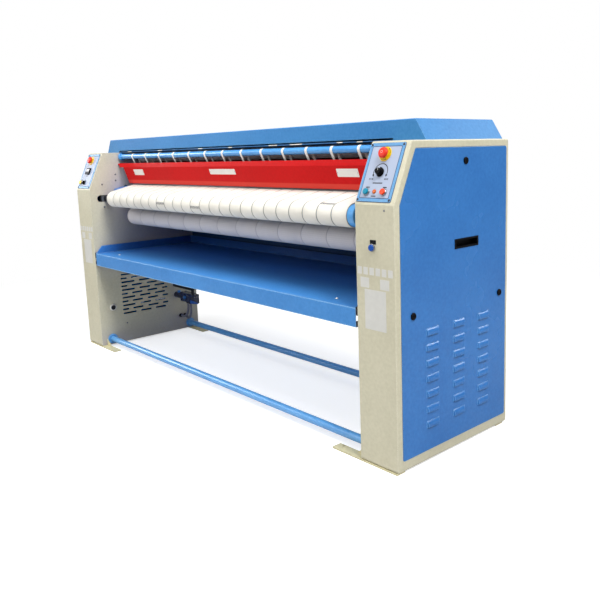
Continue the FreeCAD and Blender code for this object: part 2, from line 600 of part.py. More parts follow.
# ---------------------------------------------------------------- belts and tapes
def circle_of(name, side=1):
    y, z, radius, _, _ = ROLLERS[name]
    return (y, z, radius, side)


def row_of_belts(circles, count, pitch, width, thickness):
    first = -(count - 1) * pitch / 2 - width / 2
    one = belt(circles, thickness, 0.0, width)
    row = []
    for i in range(count):
        copy = one.copy()
        copy.translate(Vector(first + i * pitch, 0, 0))
        row.append(copy)
    return row


save("feed_belts", *row_of_belts(
    [circle_of("feed_roller_front"), circle_of("feed_roller_rear")],
    FEED_BELTS, FEED_BELT_PITCH, FEED_BELT_WIDTH, FEED_BELT_THICKNESS))
save("guide_tapes", *row_of_belts(
    [circle_of("tape_roller_upper"), circle_of("tape_roller_lower")],
    TAPES, TAPE_PITCH, TAPE_WIDTH, TAPE_THICKNESS))
# The ironing belts lie side by side with hardly a gap, so they are one band here.
ironing_path = [
    circle_of("ironing_roller_lower_front"), circle_of("ironing_roller_rear_lower"),
    circle_of("ironing_roller_rear_upper"), circle_of("ironing_roller_upper_front"),
    (CYLINDER_Y, CYLINDER_Z, CYLINDER_RADIUS, -1)]
save("ironing_belts", belt(ironing_path, IRONING_BELT_THICKNESS, -IRONING_BELT_HALF_WIDTH,
                           2 * IRONING_BELT_HALF_WIDTH))


# ---------------------------------------------------------------- drive
PULLEY_X = (1396.0, 1420.0)
PULLEY_FLANGE = 4.0
CYLINDER_PULLEY, MOTOR_PULLEY = 150.0, 45.0
MOTOR_Y, MOTOR_Z = 60.0, 560.0
MOTOR_SHAFT = 14.0
DRIVE_BELT_THICKNESS = 6.0


def pulley_outline(radius, bore, x0, x1):
    flange = radius + 8.0
    return [(x0, bore), (x0, flange), (x0 + PULLEY_FLANGE, flange), (x0 + PULLEY_FLANGE, radius),
            (x1 - PULLEY_FLANGE, radius), (x1 - PULLEY_FLANGE, flange), (x1, flange), (x1, bore)]


save("cylinder_pulley", turned(pulley_outline(CYLINDER_PULLEY, JOURNAL_RIGHT, *PULLEY_X),
                               CYLINDER_Y, CYLINDER_Z))
GEARBOX_X = (1292.0, 1376.0)
motor_outline = pulley_outline(MOTOR_PULLEY, 0.0, *PULLEY_X)[1:-1]
save("motor_pulley", turned([(GEARBOX_X[1] - 30, 0), (GEARBOX_X[1] - 30, MOTOR_SHAFT),
                             (PULLEY_X[0], MOTOR_SHAFT)] + motor_outline + [(PULLEY_X[1], 0)],
                            MOTOR_Y, MOTOR_Z))
gearbox = block(GEARBOX_X, (MOTOR_Y - 60, MOTOR_Y + 60), (MOTOR_Z - 60, MOTOR_Z + 60))
gearbox = gearbox.makeFillet(8.0, [e for e in gearbox.Edges if abs(e.BoundBox.XLength) > 50])
gearbox = gearbox.cut(bar(MOTOR_SHAFT + SHAFT_CLEARANCE, GEARBOX_X[1] - 31, GEARBOX_X[1] + 1,
                          MOTOR_Y, MOTOR_Z))
MOTOR_RADIUS, MOTOR_LENGTH = 40.0, 200.0
motor = Part.makeCylinder(MOTOR_RADIUS, MOTOR_LENGTH,
                          Vector(sum(GEARBOX_X) / 2, MOTOR_Y + 60, MOTOR_Z), Vector(0, 1, 0))
save("gearmotor", gearbox.fuse(motor))
belt_x = PULLEY_X[0] + PULLEY_FLANGE + 1.0
save("drive_belt", belt([(CYLINDER_Y, CYLINDER_Z, CYLINDER_PULLEY, 1),
                         (MOTOR_Y, MOTOR_Z, MOTOR_PULLEY, 1)][::-1],
                        DRIVE_BELT_THICKNESS, belt_x, PULLEY_X[1] - PULLEY_FLANGE - 1 - belt_x))


# ---------------------------------------------------------------- gas, burner and exhaust
BURNER_RADIUS, BURNER_END_X = 24.0, 1150.0
ELBOW_RADIUS = 19.0
GAS_VALVE_X, GAS_VALVE_Y, GAS_VALVE_Z = (-1214.0, -1012.0), (188.0, 244.0), (252.0, 318.0)
DROP_X = -1024.0


def pipe(start, end, radius):
    """A straight length of pipe between two points."""
    run = Vector(*end) - Vector(*start)
    return Part.makeCylinder(radius, run.Length, Vector(*start), run)


inlet_end = (GAS_INLET_X, CYLINDER_Y, GAS_INLET_Z)
branch_top = (GAS_INLET_X, GAS_BAR_Y, GAS_INLET_Z)
branch_foot = (GAS_INLET_X, GAS_BAR_Y, GAS_BAR_Z)
branch_end = (DROP_X, GAS_BAR_Y, GAS_BAR_Z)
burner_root = (GAS_INLET_X, CYLINDER_Y, CYLINDER_Z)
thread_root = (GAS_INLET_X, HALF_DEPTH + NECK_LENGTH, GAS_INLET_Z)
thread_end = (GAS_INLET_X, HALF_DEPTH + NECK_LENGTH + GAS_THREAD_LENGTH, GAS_INLET_Z)
save("gas_pipework", pipe(thread_root, inlet_end, GAS_PIPE_RADIUS).fuse([
    pipe(thread_root, thread_end, GAS_THREAD_RADIUS),
    pipe(branch_top, branch_foot, GAS_BAR_RADIUS),
    pipe(branch_foot, branch_end, GAS_BAR_RADIUS),
    pipe(branch_end, (DROP_X, GAS_BAR_Y, GAS_VALVE_Z[1]), GAS_BAR_RADIUS),
    pipe(inlet_end, burner_root, GAS_PIPE_RADIUS),
    pipe(burner_root, (BURNER_END_X, CYLINDER_Y, CYLINDER_Z), BURNER_RADIUS)] + [
    Part.makeSphere(radius, Vector(*corner)) for corner, radius in (
        (inlet_end, ELBOW_RADIUS), (branch_top, ELBOW_RADIUS), (branch_foot, 15.0),
        (branch_end, 15.0), (burner_root, 29.0))]))

VALVE_BODY_RADIUS = 24.0
valve_y, valve_z = sum(GAS_VALVE_Y) / 2, sum(GAS_VALVE_Z) / 2
LEVER_PIVOT = (-1010.0, 176.0, 268.0)
LEVER_STEM = 5.0
valve = block((GAS_VALVE_X[0] + 30, GAS_VALVE_X[1] - 40), GAS_VALVE_Y, GAS_VALVE_Z)
valve = valve.fuse([
    bar(VALVE_BODY_RADIUS, GAS_VALVE_X[0], GAS_VALVE_X[1] - 10, valve_y, valve_z - 4),
    block((DROP_X - 26, -996.0), (GAS_VALVE_Y[0], GAS_VALVE_Y[1] - 10), GAS_VALVE_Z)])
valve = valve.cut(Part.makeCylinder(LEVER_STEM + SHAFT_CLEARANCE, 20,
                                    Vector(LEVER_PIVOT[0], GAS_VALVE_Y[0] - 1, LEVER_PIVOT[2]),
                                    Vector(0, 1, 0)))
solenoid = bar(22.0, -WALL_X, GAS_VALVE_X[0], valve_y, valve_z - 4)
save("gas_valve", valve, solenoid)

lever_stem = Part.makeCylinder(LEVER_STEM, 22, Vector(LEVER_PIVOT[0], LEVER_PIVOT[1] - 4, LEVER_PIVOT[2]),
                               Vector(0, 1, 0))
lever_outline = [Vector(LEVER_PIVOT[0] + x, LEVER_PIVOT[1] - 4, LEVER_PIVOT[2] + z) for x, z in (
    (-12, -9), (20, -11), (92, -2), (92, 3), (20, 11), (-12, 9), (-12, -9))]
lever = Part.Face(Part.makePolygon(lever_outline)).extrude(Vector(0, 6, 0))
save("gas_cock_lever", lever.fuse(lever_stem))

FAN_RADIUS, FAN_SHEET = 92.0, 2.0
scroll = bar(FAN_RADIUS, FAN_X[0], FAN_X[1], FAN_Y, FAN_Z)
throat = block((SPIGOT_X - 44, SPIGOT_X + 44), (FAN_Y, HALF_DEPTH - 8), (FAN_Z - 60, FAN_Z + 60))
flange = pipe((SPIGOT_X, HALF_DEPTH - 8, FAN_Z), (SPIGOT_X, HALF_DEPTH - SHEET, FAN_Z),
              SPIGOT_RADIUS + 10)
spigot_root = (SPIGOT_X, HALF_DEPTH - SHEET, FAN_Z)
spigot_step = (SPIGOT_X, HALF_DEPTH + NECK_LENGTH, FAN_Z)
spigot_end = (SPIGOT_X, HALF_DEPTH + SPIGOT_LENGTH, FAN_Z)
collar = pipe(spigot_root, spigot_step, SPIGOT_NECK).fuse(pipe(spigot_step, spigot_end, SPIGOT_RADIUS))
collar = collar.cut(pipe(spigot_root, spigot_end, SPIGOT_BORE))
intake = bar(FAN_INLET - 1, FAN_X[1], -WALL_X - WALL_PLATE, FAN_Y, FAN_Z)
fan_motor = bar(38.0, FAN_X[0] - 32, FAN_X[0], FAN_Y, FAN_Z)
save("exhaust_fan", scroll.fuse([throat, flange, collar, intake, fan_motor]))


# ---------------------------------------------------------------- cables of the gas valve
CABLE_RADIUS = 9.0
GLAND_RADIUS, GLAND_LENGTH = 13.0, 18.0
CABLE_TOP_Z = GAS_VALVE_Z[0] - 15.0
CABLES = {
    "valve_cable_a": [(-1136.0, 222.0, CABLE_TOP_Z), (-1136.0, 223.0, 189.0), (-1162.0, 225.0, 146.0),
                      (-1212.0, 231.0, 118.0), (-1270.0, 238.0, 116.0)],
    "valve_cable_b": [(-1100.0, 222.0, CABLE_TOP_Z), (-1100.0, 224.0, 186.0), (-1127.0, 230.0, 138.0),
                      (-1176.0, 245.0, 110.0), (-1224.0, 260.0, 106.0), (-1270.0, 274.0, 112.0)],
}


def cable(route):
    """A round cable along straight runs joined by the largest tangent arcs that fit."""
    points = [Vector(*p) for p in route]
    edges, at, length = [], points[0], 0.0
    radii = []
    for before, corner, after in zip(points, points[1:], points[2:]):
        back, ahead = (before - corner), (after - corner)
        reach = 0.45 * min(back.Length, ahead.Length)
        turn = math.pi - back.getAngle(ahead)
        radius = reach / math.tan(turn / 2)
        start = corner + back.normalize() * reach
        end = corner + ahead.normalize() * reach
        middle = (back + ahead).normalize()
        centre = corner + middle * math.hypot(radius, reach)
        edges += [Part.LineSegment(at, start).toShape(),
                  Part.Arc(start, centre - middle * radius, end).toShape()]
        length += (start - at).Length + radius * turn
        radii.append(round(radius))
        at = end
    edges.append(Part.LineSegment(at, points[-1]).toShape())
    length += (points[-1] - at).Length
    first = (points[1] - points[0]).normalize()
    section = Part.Wire([Part.Circle(points[0], first, CABLE_RADIUS).toShape()])
    tube = Part.Wire(edges).makePipeShell([section], True, False)
    ideal = math.pi * CABLE_RADIUS ** 2 * length
    print("cable radii", radii, "length", round(length), "volume ratio", round(tube.Volume / ideal, 4))
    return tube


def socket(end, towards):
    """Clears the way of a cable that meets its gland at a slight angle."""
    start = Vector(*end)
    run = (Vector(*towards) - start).normalize() * 12.0
    return pipe(end, start + run, CABLE_RADIUS + 0.5)


glands = []
for cable_name, route in CABLES.items():
    save(cable_name, cable(route))
    top, wall_end = route[0], route[-1]
    top_gland = Part.makeCylinder(GLAND_RADIUS, GAS_VALVE_Z[0] - top[2], Vector(*top))
    wall_gland = bar(GLAND_RADIUS, -WALL_X, wall_end[0], wall_end[1], wall_end[2])
    glands.append(top_gland.cut(socket(top, route[1])))
    glands.append(wall_gland.cut(socket(wall_end, route[-2])))
SUPPLY_GLAND = (1400.0, HALF_DEPTH, 300.0)
glands.append(Part.makeCylinder(14.0, 20.0, Vector(*SUPPLY_GLAND), Vector(0, 1, 0)))
save("cable_glands", *glands)

CONTROL_BOX_X, CONTROL_BOX_Y, CONTROL_BOX_Z = (1292.0, 1400.0), (-330.0, -180.0), (560.0, 860.0)
save("control_box", block(CONTROL_BOX_X, CONTROL_BOX_Y, CONTROL_BOX_Z))


# ---------------------------------------------------------------- control panels
def panel_frame():
    width, height = PANEL_FRAME
    frame = block((-width / 2, width / 2), (-height / 2, height / 2), (0, PANEL_THICKNESS))
    corners = [e for e in frame.Edges if e.BoundBox.ZLength > PANEL_THICKNESS - 0.1]
    frame = frame.makeFillet(5.0, corners)
    width, height = PANEL_PLATE
    return frame.cut(block((-width / 2, width / 2), (-height / 2, height / 2), (-1, PANEL_THICKNESS + 1)))


def panel_plate(panel_x, holes):
    """Switch plate in the frame, with a hole (X, up, radius) for each control."""
    width, height = PANEL_PLATE
    plate = on_panel(block((-width / 2, width / 2), (-height / 2, height / 2), (0, PANEL_THICKNESS)),
                     panel_x, PANEL_MIDDLE_UP)
    cuts = [on_panel(Part.makeCylinder(radius, 10, Vector(0, 0, -2)), x, up) for x, up, radius in holes]
    return plate.cut(cuts)


stem_hole = ESTOP_STEM + BUTTON_CLEARANCE
push_hole = BUTTON_RADIUS + BUTTON_CLEARANCE
dial_hole = KNOB_SHAFT + BUTTON_CLEARANCE
save("panel_frames", on_panel(panel_frame(), RIGHT_PANEL_X, PANEL_MIDDLE_UP),
     on_panel(panel_frame(), LEFT_PANEL_X, PANEL_MIDDLE_UP))
save("panel_plates",
     panel_plate(RIGHT_PANEL_X, [(RIGHT_ESTOP_X, ESTOP_UP, stem_hole), (RIGHT_ESTOP_X, DIAL_UP, dial_hole),
                                 (START_X, BUTTON_UP, push_hole), (STOP_X, BUTTON_UP, push_hole)]),
     panel_plate(LEFT_PANEL_X, [(LEFT_ESTOP_X, ESTOP_UP, stem_hole), (ALARM_X, BUTTON_UP, push_hole),
                                (SELECTOR_X, BUTTON_UP, push_hole)]))

face = PANEL_THICKNESS
estop_collar = spun([(stem_hole, face), (ESTOP_COLLAR, face), (ESTOP_COLLAR - 1, face + 2.5),
                     (16.0, face + 2.5), (15.0, face + 4.5), (stem_hole, face + 4.5)])
save("estop_collars", on_panel(estop_collar, RIGHT_ESTOP_X, ESTOP_UP),
     on_panel(estop_collar, LEFT_ESTOP_X, ESTOP_UP))
estop_cap = spun([(0, -STEM_DEPTH), (ESTOP_STEM, -STEM_DEPTH), (ESTOP_STEM, face + 10),
                  (ESTOP_CAP - 2, face + 10), (ESTOP_CAP, face + 12), (ESTOP_CAP, face + 19),
                  (ESTOP_CAP - 3, face + 23), (ESTOP_CAP - 9, face + 25), (0, face + 25.5)])
save("right_estop_cap", on_panel(estop_cap, RIGHT_ESTOP_X, ESTOP_UP))
save("left_estop_cap", on_panel(estop_cap, LEFT_ESTOP_X, ESTOP_UP))

bezel = spun([(push_hole, face), (BEZEL_RADIUS, face), (BEZEL_RADIUS, face + 4),
              (BEZEL_RADIUS - 1.5, face + 6), (push_hole, face + 6)])
front_bezel = bezel.copy()
front_bezel.translate(Vector(0, 0, -PANEL_THICKNESS))
save("button_bezels", on_panel(bezel, START_X, BUTTON_UP), on_panel(bezel, STOP_X, BUTTON_UP),
     on_panel(bezel, ALARM_X, BUTTON_UP), on_panel(bezel, SELECTOR_X, BUTTON_UP),
     on_front(front_bezel, RESET_X, RESET_Z))

button = spun([(0, -STEM_DEPTH), (BUTTON_RADIUS, -STEM_DEPTH), (BUTTON_RADIUS, face + 11),
               (BUTTON_RADIUS - 1.5, face + 12.5), (0, face + 12.5)])
save("start_button", on_panel(button, START_X, BUTTON_UP))
save("stop_button", on_panel(button, STOP_X, BUTTON_UP))
save("alarm_button", on_panel(button, ALARM_X, BUTTON_UP))
front_button = button.copy()
front_button.translate(Vector(0, 0, -PANEL_THICKNESS))
save("reset_button", on_front(front_button, RESET_X, RESET_Z))

grip = block((-3.5, 3.5), (-BUTTON_RADIUS + 0.5, BUTTON_RADIUS - 0.5), (face + 7, face + 17))
selector = spun([(0, -STEM_DEPTH), (BUTTON_RADIUS, -STEM_DEPTH), (BUTTON_RADIUS, face + 8), (0, face + 8)])
save("selector_knob", on_panel(selector.fuse(grip), SELECTOR_X, BUTTON_UP))

knob = spun([(0, -STEM_DEPTH), (KNOB_SHAFT, -STEM_DEPTH), (KNOB_SHAFT, face + 1), (19.0, face + 1),
             (19.0, face + 3), (14.5, face + 6), (13.0, face + 20), (0, face + 20)])
pointer = block((-2.0, 2.0), (8.0, 20.5), (face + 1.5, face + 8))
save("speed_knob", on_panel(knob.fuse(pointer), RIGHT_ESTOP_X, DIAL_UP))

LAMP_RADIUS = 9.0
save("pilot_lamp", on_panel(spun([(0, face), (LAMP_RADIUS, face), (LAMP_RADIUS, face + 3),
                                  (LAMP_RADIUS - 3, face + 6), (0, face + 7)]), LAMP_X, BUTTON_UP + 2))

CONTROLLER_X, CONTROLLER_WIDTH, CONTROLLER_HEIGHT = -1396.0, 60.0, 46.0
controller = block((-CONTROLLER_WIDTH / 2, CONTROLLER_WIDTH / 2),
                   (-CONTROLLER_HEIGHT / 2, CONTROLLER_HEIGHT / 2), (face, face + 9))
controller = controller.makeFillet(5.0, [e for e in controller.Edges if e.BoundBox.ZLength > 8])
save("temperature_controller", on_panel(controller, CONTROLLER_X, DIAL_UP))
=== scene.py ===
import math

import bmesh
import bpy
from mathutils import Matrix, Vector


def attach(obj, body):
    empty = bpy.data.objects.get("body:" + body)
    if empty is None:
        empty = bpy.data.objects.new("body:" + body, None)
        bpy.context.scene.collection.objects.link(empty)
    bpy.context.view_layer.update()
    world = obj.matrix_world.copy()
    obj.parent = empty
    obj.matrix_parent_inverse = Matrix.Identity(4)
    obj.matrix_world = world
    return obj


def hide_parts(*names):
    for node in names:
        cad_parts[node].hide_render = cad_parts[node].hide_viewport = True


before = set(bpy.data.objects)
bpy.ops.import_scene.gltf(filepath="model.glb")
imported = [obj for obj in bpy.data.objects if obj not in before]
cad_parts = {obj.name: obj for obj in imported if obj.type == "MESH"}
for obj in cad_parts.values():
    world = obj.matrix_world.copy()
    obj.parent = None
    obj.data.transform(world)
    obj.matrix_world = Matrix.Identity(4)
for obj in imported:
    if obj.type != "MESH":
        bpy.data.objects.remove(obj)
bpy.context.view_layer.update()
scene = bpy.context.scene
MM = 0.001


# ---- Camera: stands to the right of the machine at the height of its top, and looks along the
# feeding side. The shift repeats the photograph's cropping.
CAMERA_PLACE = (3.2448, -2.3002, 1.3102)
CAMERA_RIGHT = Vector((0.6846, 0.7284, -0.0281)).normalized()
CAMERA_BACK = Vector((0.7229, -0.6735, 0.1547)).normalized()
CAMERA_UP = CAMERA_BACK.cross(CAMERA_RIGHT)

camera = bpy.data.objects.new("camera", bpy.data.cameras.new("camera"))
camera.matrix_world = Matrix.Translation(CAMERA_PLACE) @ Matrix(
    (CAMERA_RIGHT, CAMERA_UP, CAMERA_BACK)).transposed().to_4x4()
camera.data.sensor_width = 36.0
camera.data.lens = 40.6
camera.data.shift_x = -0.0673
camera.data.shift_y = -0.0697
scene.collection.objects.link(camera)
scene.camera = camera


# ---- Valve cables: two lengths of corrugated conduit between the gas valve and glands in the left
# wall. Grey nylon sleeve, ribbed in the mould, so it bends in an even curve and shines softly.
def colour(sheet_hex):
    """An sRGB hex colour as linear red, green, blue and alpha."""
    parts = [int(sheet_hex[i:i + 2], 16) / 255 for i in (1, 3, 5)]
    return [c / 12.92 if c <= 0.04045 else ((c + 0.055) / 1.055) ** 2.4 for c in parts] + [1.0]


def add(tree, kind, inputs=None, **settings):
    """Adds a shader node with its settings; each input is a value or the output it is linked to."""
    made = tree.nodes.new("ShaderNode" + kind)
    for setting, value in settings.items():
        setattr(made, setting, value)
    for socket, value in (inputs or {}).items():
        if isinstance(value, bpy.types.NodeSocket):
            tree.links.new(value, made.inputs[socket])
        else:
            made.inputs[socket].default_value = value
    return made


def new_finish(name, **constants):
    """A material whose Principled shader has these constants; returns it, its tree and shader."""
    made = bpy.data.materials.new(name)
    made.use_nodes = True
    tree = made.node_tree
    shader = tree.nodes["Principled BSDF"]
    for socket, value in constants.items():
        shader.inputs[socket.replace("_", " ")].default_value = value
    return made, tree, shader


def feed(tree, output, shader, socket):
    """Links a node's output to one of the shader's sockets."""
    tree.links.new(output, shader.inputs[socket])


def tint(tree, share, low_hex, high_hex):
    """Mixes two colours by a share."""
    return add(tree, "Mix", {0: share, 6: colour(low_hex), 7: colour(high_hex)}, data_type="RGBA")


CONDUIT_DIAMETER = 18 * MM
CONDUIT_RIB = 4.5 * MM
conduit_nylon, tree, shader = new_finish("corrugated grey nylon", Roughness=0.45, IOR=1.53)
where = add(tree, "TexCoord")
place = add(tree, "SeparateXYZ", {0: where.outputs["Object"]})
# ribs follow height and X together, which runs evenly along the hanging bend
down = add(tree, "Math", {0: place.outputs["Z"], 1: place.outputs["X"]}, operation="ADD")
turns = add(tree, "Math", {0: down.outputs[0], 1: math.tau / CONDUIT_RIB}, operation="MULTIPLY")
rib = add(tree, "Math", {0: turns.outputs[0]}, operation="SINE")
valley = add(tree, "MapRange", {"Value": rib.outputs[0], "From Min": -1.0, "From Max": 1.0})
# painted shade and highlight: the ribs' valleys are painted darker and their crests paler
tone = tint(tree, valley.outputs[0], "#4A4B5C", "#8A8B9E")
feed(tree, tone.outputs[2], shader, "Base Color")
ridge = add(tree, "Bump", {"Height": valley.outputs[0], "Distance": 1.0 * MM, "Strength": 0.8})
feed(tree, ridge.outputs[0], shader, "Normal")

CABLE_ROUTES = {
    "valve_cable_a": ([(-1.136, 0.222, 0.237), (-1.136, 0.223, 0.189), (-1.162, 0.225, 0.146),
                       (-1.212, 0.231, 0.118), (-1.270, 0.238, 0.116)], 0.211),
    "valve_cable_b": ([(-1.100, 0.222, 0.237), (-1.100, 0.224, 0.186), (-1.127, 0.230, 0.138),
                       (-1.176, 0.245, 0.110), (-1.224, 0.260, 0.106), (-1.270, 0.274, 0.112)], 0.261),
}
for node_name, (route, length) in CABLE_ROUTES.items():
    line = bpy.data.curves.new(node_name + "_conduit", "CURVE")
    line.dimensions = "3D"
    line.bevel_depth = CONDUIT_DIAMETER / 2
    line.bevel_resolution = 6
    line.resolution_u = 16
    spline = line.splines.new("NURBS")
    spline.points.add(len(route) - 1)
    for point, spot in zip(spline.points, route):
        point.co = (*spot, 1.0)
    spline.order_u = 3
    spline.use_endpoint_u = True
    line.materials.append(conduit_nylon)
    conduit = bpy.data.objects.new(node_name + "_conduit", line)
    scene.collection.objects.link(conduit)
    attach(conduit, "frame")
    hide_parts(node_name)


# ---- Housings: two folded steel shells with an inner wall each, that carry everything else.
# Mild steel, phosphated and stove-enamelled beige: a satin skin with a faint orange peel.
def noise(tree, where, size, detail):
    """Noise over the object, in patches about this many metres across."""
    return add(tree, "TexNoise", {"Vector": where.outputs["Object"], "Scale": 1 / size, "Detail": detail})


def stove_enamel(name, body_hex, shade_hex, roughness, edge=1.2 * MM, painted_highlight_hex=None, shine=0.25,
                 painted_shade_hex=None):
    """Baked enamel on sheet steel: tone clouded over a hand's width, mottle, orange peel.

    Edge is the radius that the paint rounds a fold to; the paler fold colour painted on it is a painted
    highlight.
    The darker colour given last is painted shade, mixed in where ambient occlusion finds the surface
    enclosed."""
    made, tree, shader = new_finish(name, Specular_IOR_Level=shine)
    where = add(tree, "TexCoord")
    cloud = noise(tree, where, 0.30, 3.0)
    # the real mottle is under a millimetre; it is drawn at 14 mm so that it shows
    mottle = noise(tree, where, 0.014, 4.0)
    blend = add(tree, "Mix", {0: 0.5, 2: cloud.outputs["Fac"], 3: mottle.outputs["Fac"]})
    spread = add(tree, "MapRange", {"Value": blend.outputs[0], "From Min": 0.36, "From Max": 0.64})
    tone = tint(tree, spread.outputs[0], shade_hex, body_hex)
    fold = add(tree, "Bevel", {"Radius": edge}, samples=4)
    surface = add(tree, "NewGeometry")
    along = add(tree, "VectorMath", {0: fold.outputs[0], 1: surface.outputs["Normal"]},
                operation="DOT_PRODUCT")
    # painted highlight: within the fold radius the colour is mixed towards the paler fold colour
    bent = add(tree, "MapRange", {"Value": along.outputs["Value"], "From Min": 0.99, "From Max": 0.90})
    paler = add(tree, "Mix", {0: bent.outputs[0], 6: tone.outputs[2], 7: colour(painted_highlight_hex or body_hex)},
                data_type="RGBA")
    worked = paler.outputs[2]
    # painted shade: the darker colour is mixed in where ambient occlusion finds the surface enclosed
    if painted_shade_hex:
        inside = add(tree, "AmbientOcclusion", {"Distance": 0.35}, samples=6)
        painted_shade_share = add(tree, "MapRange", {"Value": inside.outputs["AO"], "From Min": 0.75, "From Max": 0.25,
                                      "To Max": 0.8})
        worked = add(tree, "Mix", {0: painted_shade_share.outputs[0], 6: worked, 7: colour(painted_shade_hex)},
                     data_type="RGBA").outputs[2]
    feed(tree, worked, shader, "Base Color")
    gloss = add(tree, "MapRange", {"Value": cloud.outputs["Fac"], "To Min": roughness - 0.06,
                                   "To Max": roughness + 0.08})
    feed(tree, gloss.outputs[0], shader, "Roughness")
    peel = noise(tree, where, 0.004, 1.0)
    skin = add(tree, "Bump", {"Height": peel.outputs["Fac"], "Distance": 0.3 * MM, "Strength": 0.25,
                              "Normal": fold.outputs[0]})
    feed(tree, skin.outputs[0], shader, "Normal")
    return made


def dress(material, *node_names):
    """Gives CAD nodes a finish and smooth shading; their faces are already parted at the edges."""
    for node_name in node_names:
        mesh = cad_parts[node_name].data
        mesh.materials.clear()
        mesh.materials.append(material)
        mesh.shade_smooth()


# the beige folds are painted off-white: a painted highlight along the edges
beige_enamel = stove_enamel("beige stove enamel", "#CFCAB2", "#C3BEA5", 0.45, 4.0 * MM, "#E8E5D2")
dress(beige_enamel, "left_casing", "right_casing")

# the inner walls stand over the bed; where they are enclosed they get painted shade in purple-grey
wall_enamel = stove_enamel("beige enamel inside the bed", "#CFCAB2", "#C3BEA5", 0.45, painted_shade_hex="#A29CB6")
dress(wall_enamel, "left_inner_wall", "right_inner_wall")


# ---- Foot plates: flat bar welded under each housing, drilled for a floor bolt, with a gusset.
# The same beige enamel, brushed on thicker and yellowed by floor cleaner.
foot_enamel = stove_enamel("beige enamel on flat bar", "#DCD5AE", "#C4BC98", 0.5)
dress(foot_enamel, "floor_feet")


# ---- Side covers: one deep-drawn sheet each, with louvres pressed in three columns so that warm
# air leaves the housing. Mild steel under mid-blue stove enamel, faintly mottled, with a painted
# highlight in paler blue along its edges and louvres.
blue_enamel = stove_enamel("mid-blue stove enamel", "#3779C0", "#306EB4", 0.25, 4.5 * MM, "#5C9DDB", 0.3)
dress(blue_enamel, "left_side_cover", "right_side_cover")


# ---- Cover locks and pulls: quarter-turn locks and flush cups in black glass-filled nylon,
# moulded with a fine matt grain that spreads the highlights.
def moulded_nylon(name, body_hex, worn_hex, roughness, grain):
    """Injection-moulded nylon with spark-eroded grain, greyer where hands rub it."""
    made, tree, shader = new_finish(name, IOR=1.53, Specular_IOR_Level=0.08)
    where = add(tree, "TexCoord")
    pits = add(tree, "TexVoronoi", {"Vector": where.outputs["Object"], "Scale": 1 / grain})
    worn = noise(tree, where, 0.02, 4.0)
    wear_and_reflection_share = add(tree, "MapRange", {"Value": worn.outputs["Fac"], "From Min": 0.5, "From Max": 0.8})
    tone = tint(tree, wear_and_reflection_share.outputs[0], body_hex, worn_hex)
    feed(tree, tone.outputs[2], shader, "Base Color")
    gloss = add(tree, "MapRange", {"Value": worn.outputs["Fac"], "To Min": roughness + 0.1,
                                   "To Max": roughness - 0.1})
    feed(tree, gloss.outputs[0], shader, "Roughness")
    skin = add(tree, "Bump", {"Height": pits.outputs["Distance"], "Distance": 0.1 * MM, "Strength": 0.3})
    feed(tree, skin.outputs[0], shader, "Normal")
    return made


black_nylon = moulded_nylon("black glass-filled nylon", "#030306", "#0B0C11", 0.5, 0.9 * MM)
dress(black_nylon, "cover_pulls", "left_cover_lock_top", "left_cover_lock_rear",
      "left_cover_lock_front", "right_cover_lock_top", "right_cover_lock_rear",
      "right_cover_lock_front")


# ---- Tie bars: drawn steel tube with a turned flange welded at each wall, that keep the housings
# square. Air-drying blue gloss: it holds a bright line of light along the tube.
tube_gloss_blue = stove_enamel("light blue gloss on tube", "#62AAE6", "#529BDB", 0.3, shine=1.0)
dress(tube_gloss_blue, "tie_bars")


# ---- Hood and rear panel: folded sheets over and behind the cylinder, in a lighter blue than the
# covers. The tray and the feed table are the same, polished a little by the linen.
# the hood's folds get a painted highlight in pale blue
hood_enamel = stove_enamel("hood blue stove enamel", "#4889C3", "#3C7CB7", 0.45, 2.0 * MM, "#8CC3EE", 0.05)
# the tray's folds get a painted highlight in pale blue, and its enclosed places painted shade in deep navy
tray_enamel = stove_enamel("tray blue stove enamel", "#478DD1", "#3B80C5", 0.34, 6.0 * MM, "#A6D6FA",
                           painted_shade_hex="#20459A")
dress(hood_enamel, "hood")
dress(tray_enamel, "tray", "feed_table")

# the rear panel gets painted shade, almost black, where it is enclosed
rear_enamel = stove_enamel("rear panel blue stove enamel", "#4B8ACB", "#3F7BBC", 0.45, 1.5 * MM,
                           painted_shade_hex="#0F1E3C")
dress(rear_enamel, "rear_panel")


# ---- Hem of the hood: a steel rod rolled into the hood's lower edge stiffens it. Its enamel has
# worn to bright steel where sheets are thrown over it.
def new_piece(name, mesh, material, body="frame"):
    """Turns a bmesh into an object that rides on a CAD body."""
    data = bpy.data.meshes.new(name)
    mesh.to_mesh(data)
    mesh.free()
    data.materials.append(material)
    made = bpy.data.objects.new(name, data)
    scene.collection.objects.link(made)
    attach(made, body)
    return made


def add_tube(mesh, points, radius, sides=12):
    """Adds a round bar along points that lie nearly on one line, with closed, rounded ends."""
    axis = (points[-1] - points[0]).normalized()
    across = axis.orthogonal().normalized()
    over = axis.cross(across)
    stations = [(points[0] - axis * radius * 0.3, 0.6)] + [(p, 1.0) for p in points]
    stations.append((points[-1] + axis * radius * 0.3, 0.6))
    rings = []
    for centre, share in stations:
        turn = [math.tau * k / sides for k in range(sides)]
        rings.append([mesh.verts.new(centre + (across * math.cos(a) + over * math.sin(a)) * radius * share)
                      for a in turn])
    for here, ahead in zip(rings, rings[1:]):
        for k in range(sides):
            face = mesh.faces.new((here[k], here[(k + 1) % sides], ahead[(k + 1) % sides], ahead[k]))
            face.smooth = True
    mesh.faces.new(rings[0][::-1])
    mesh.faces.new(rings[-1])


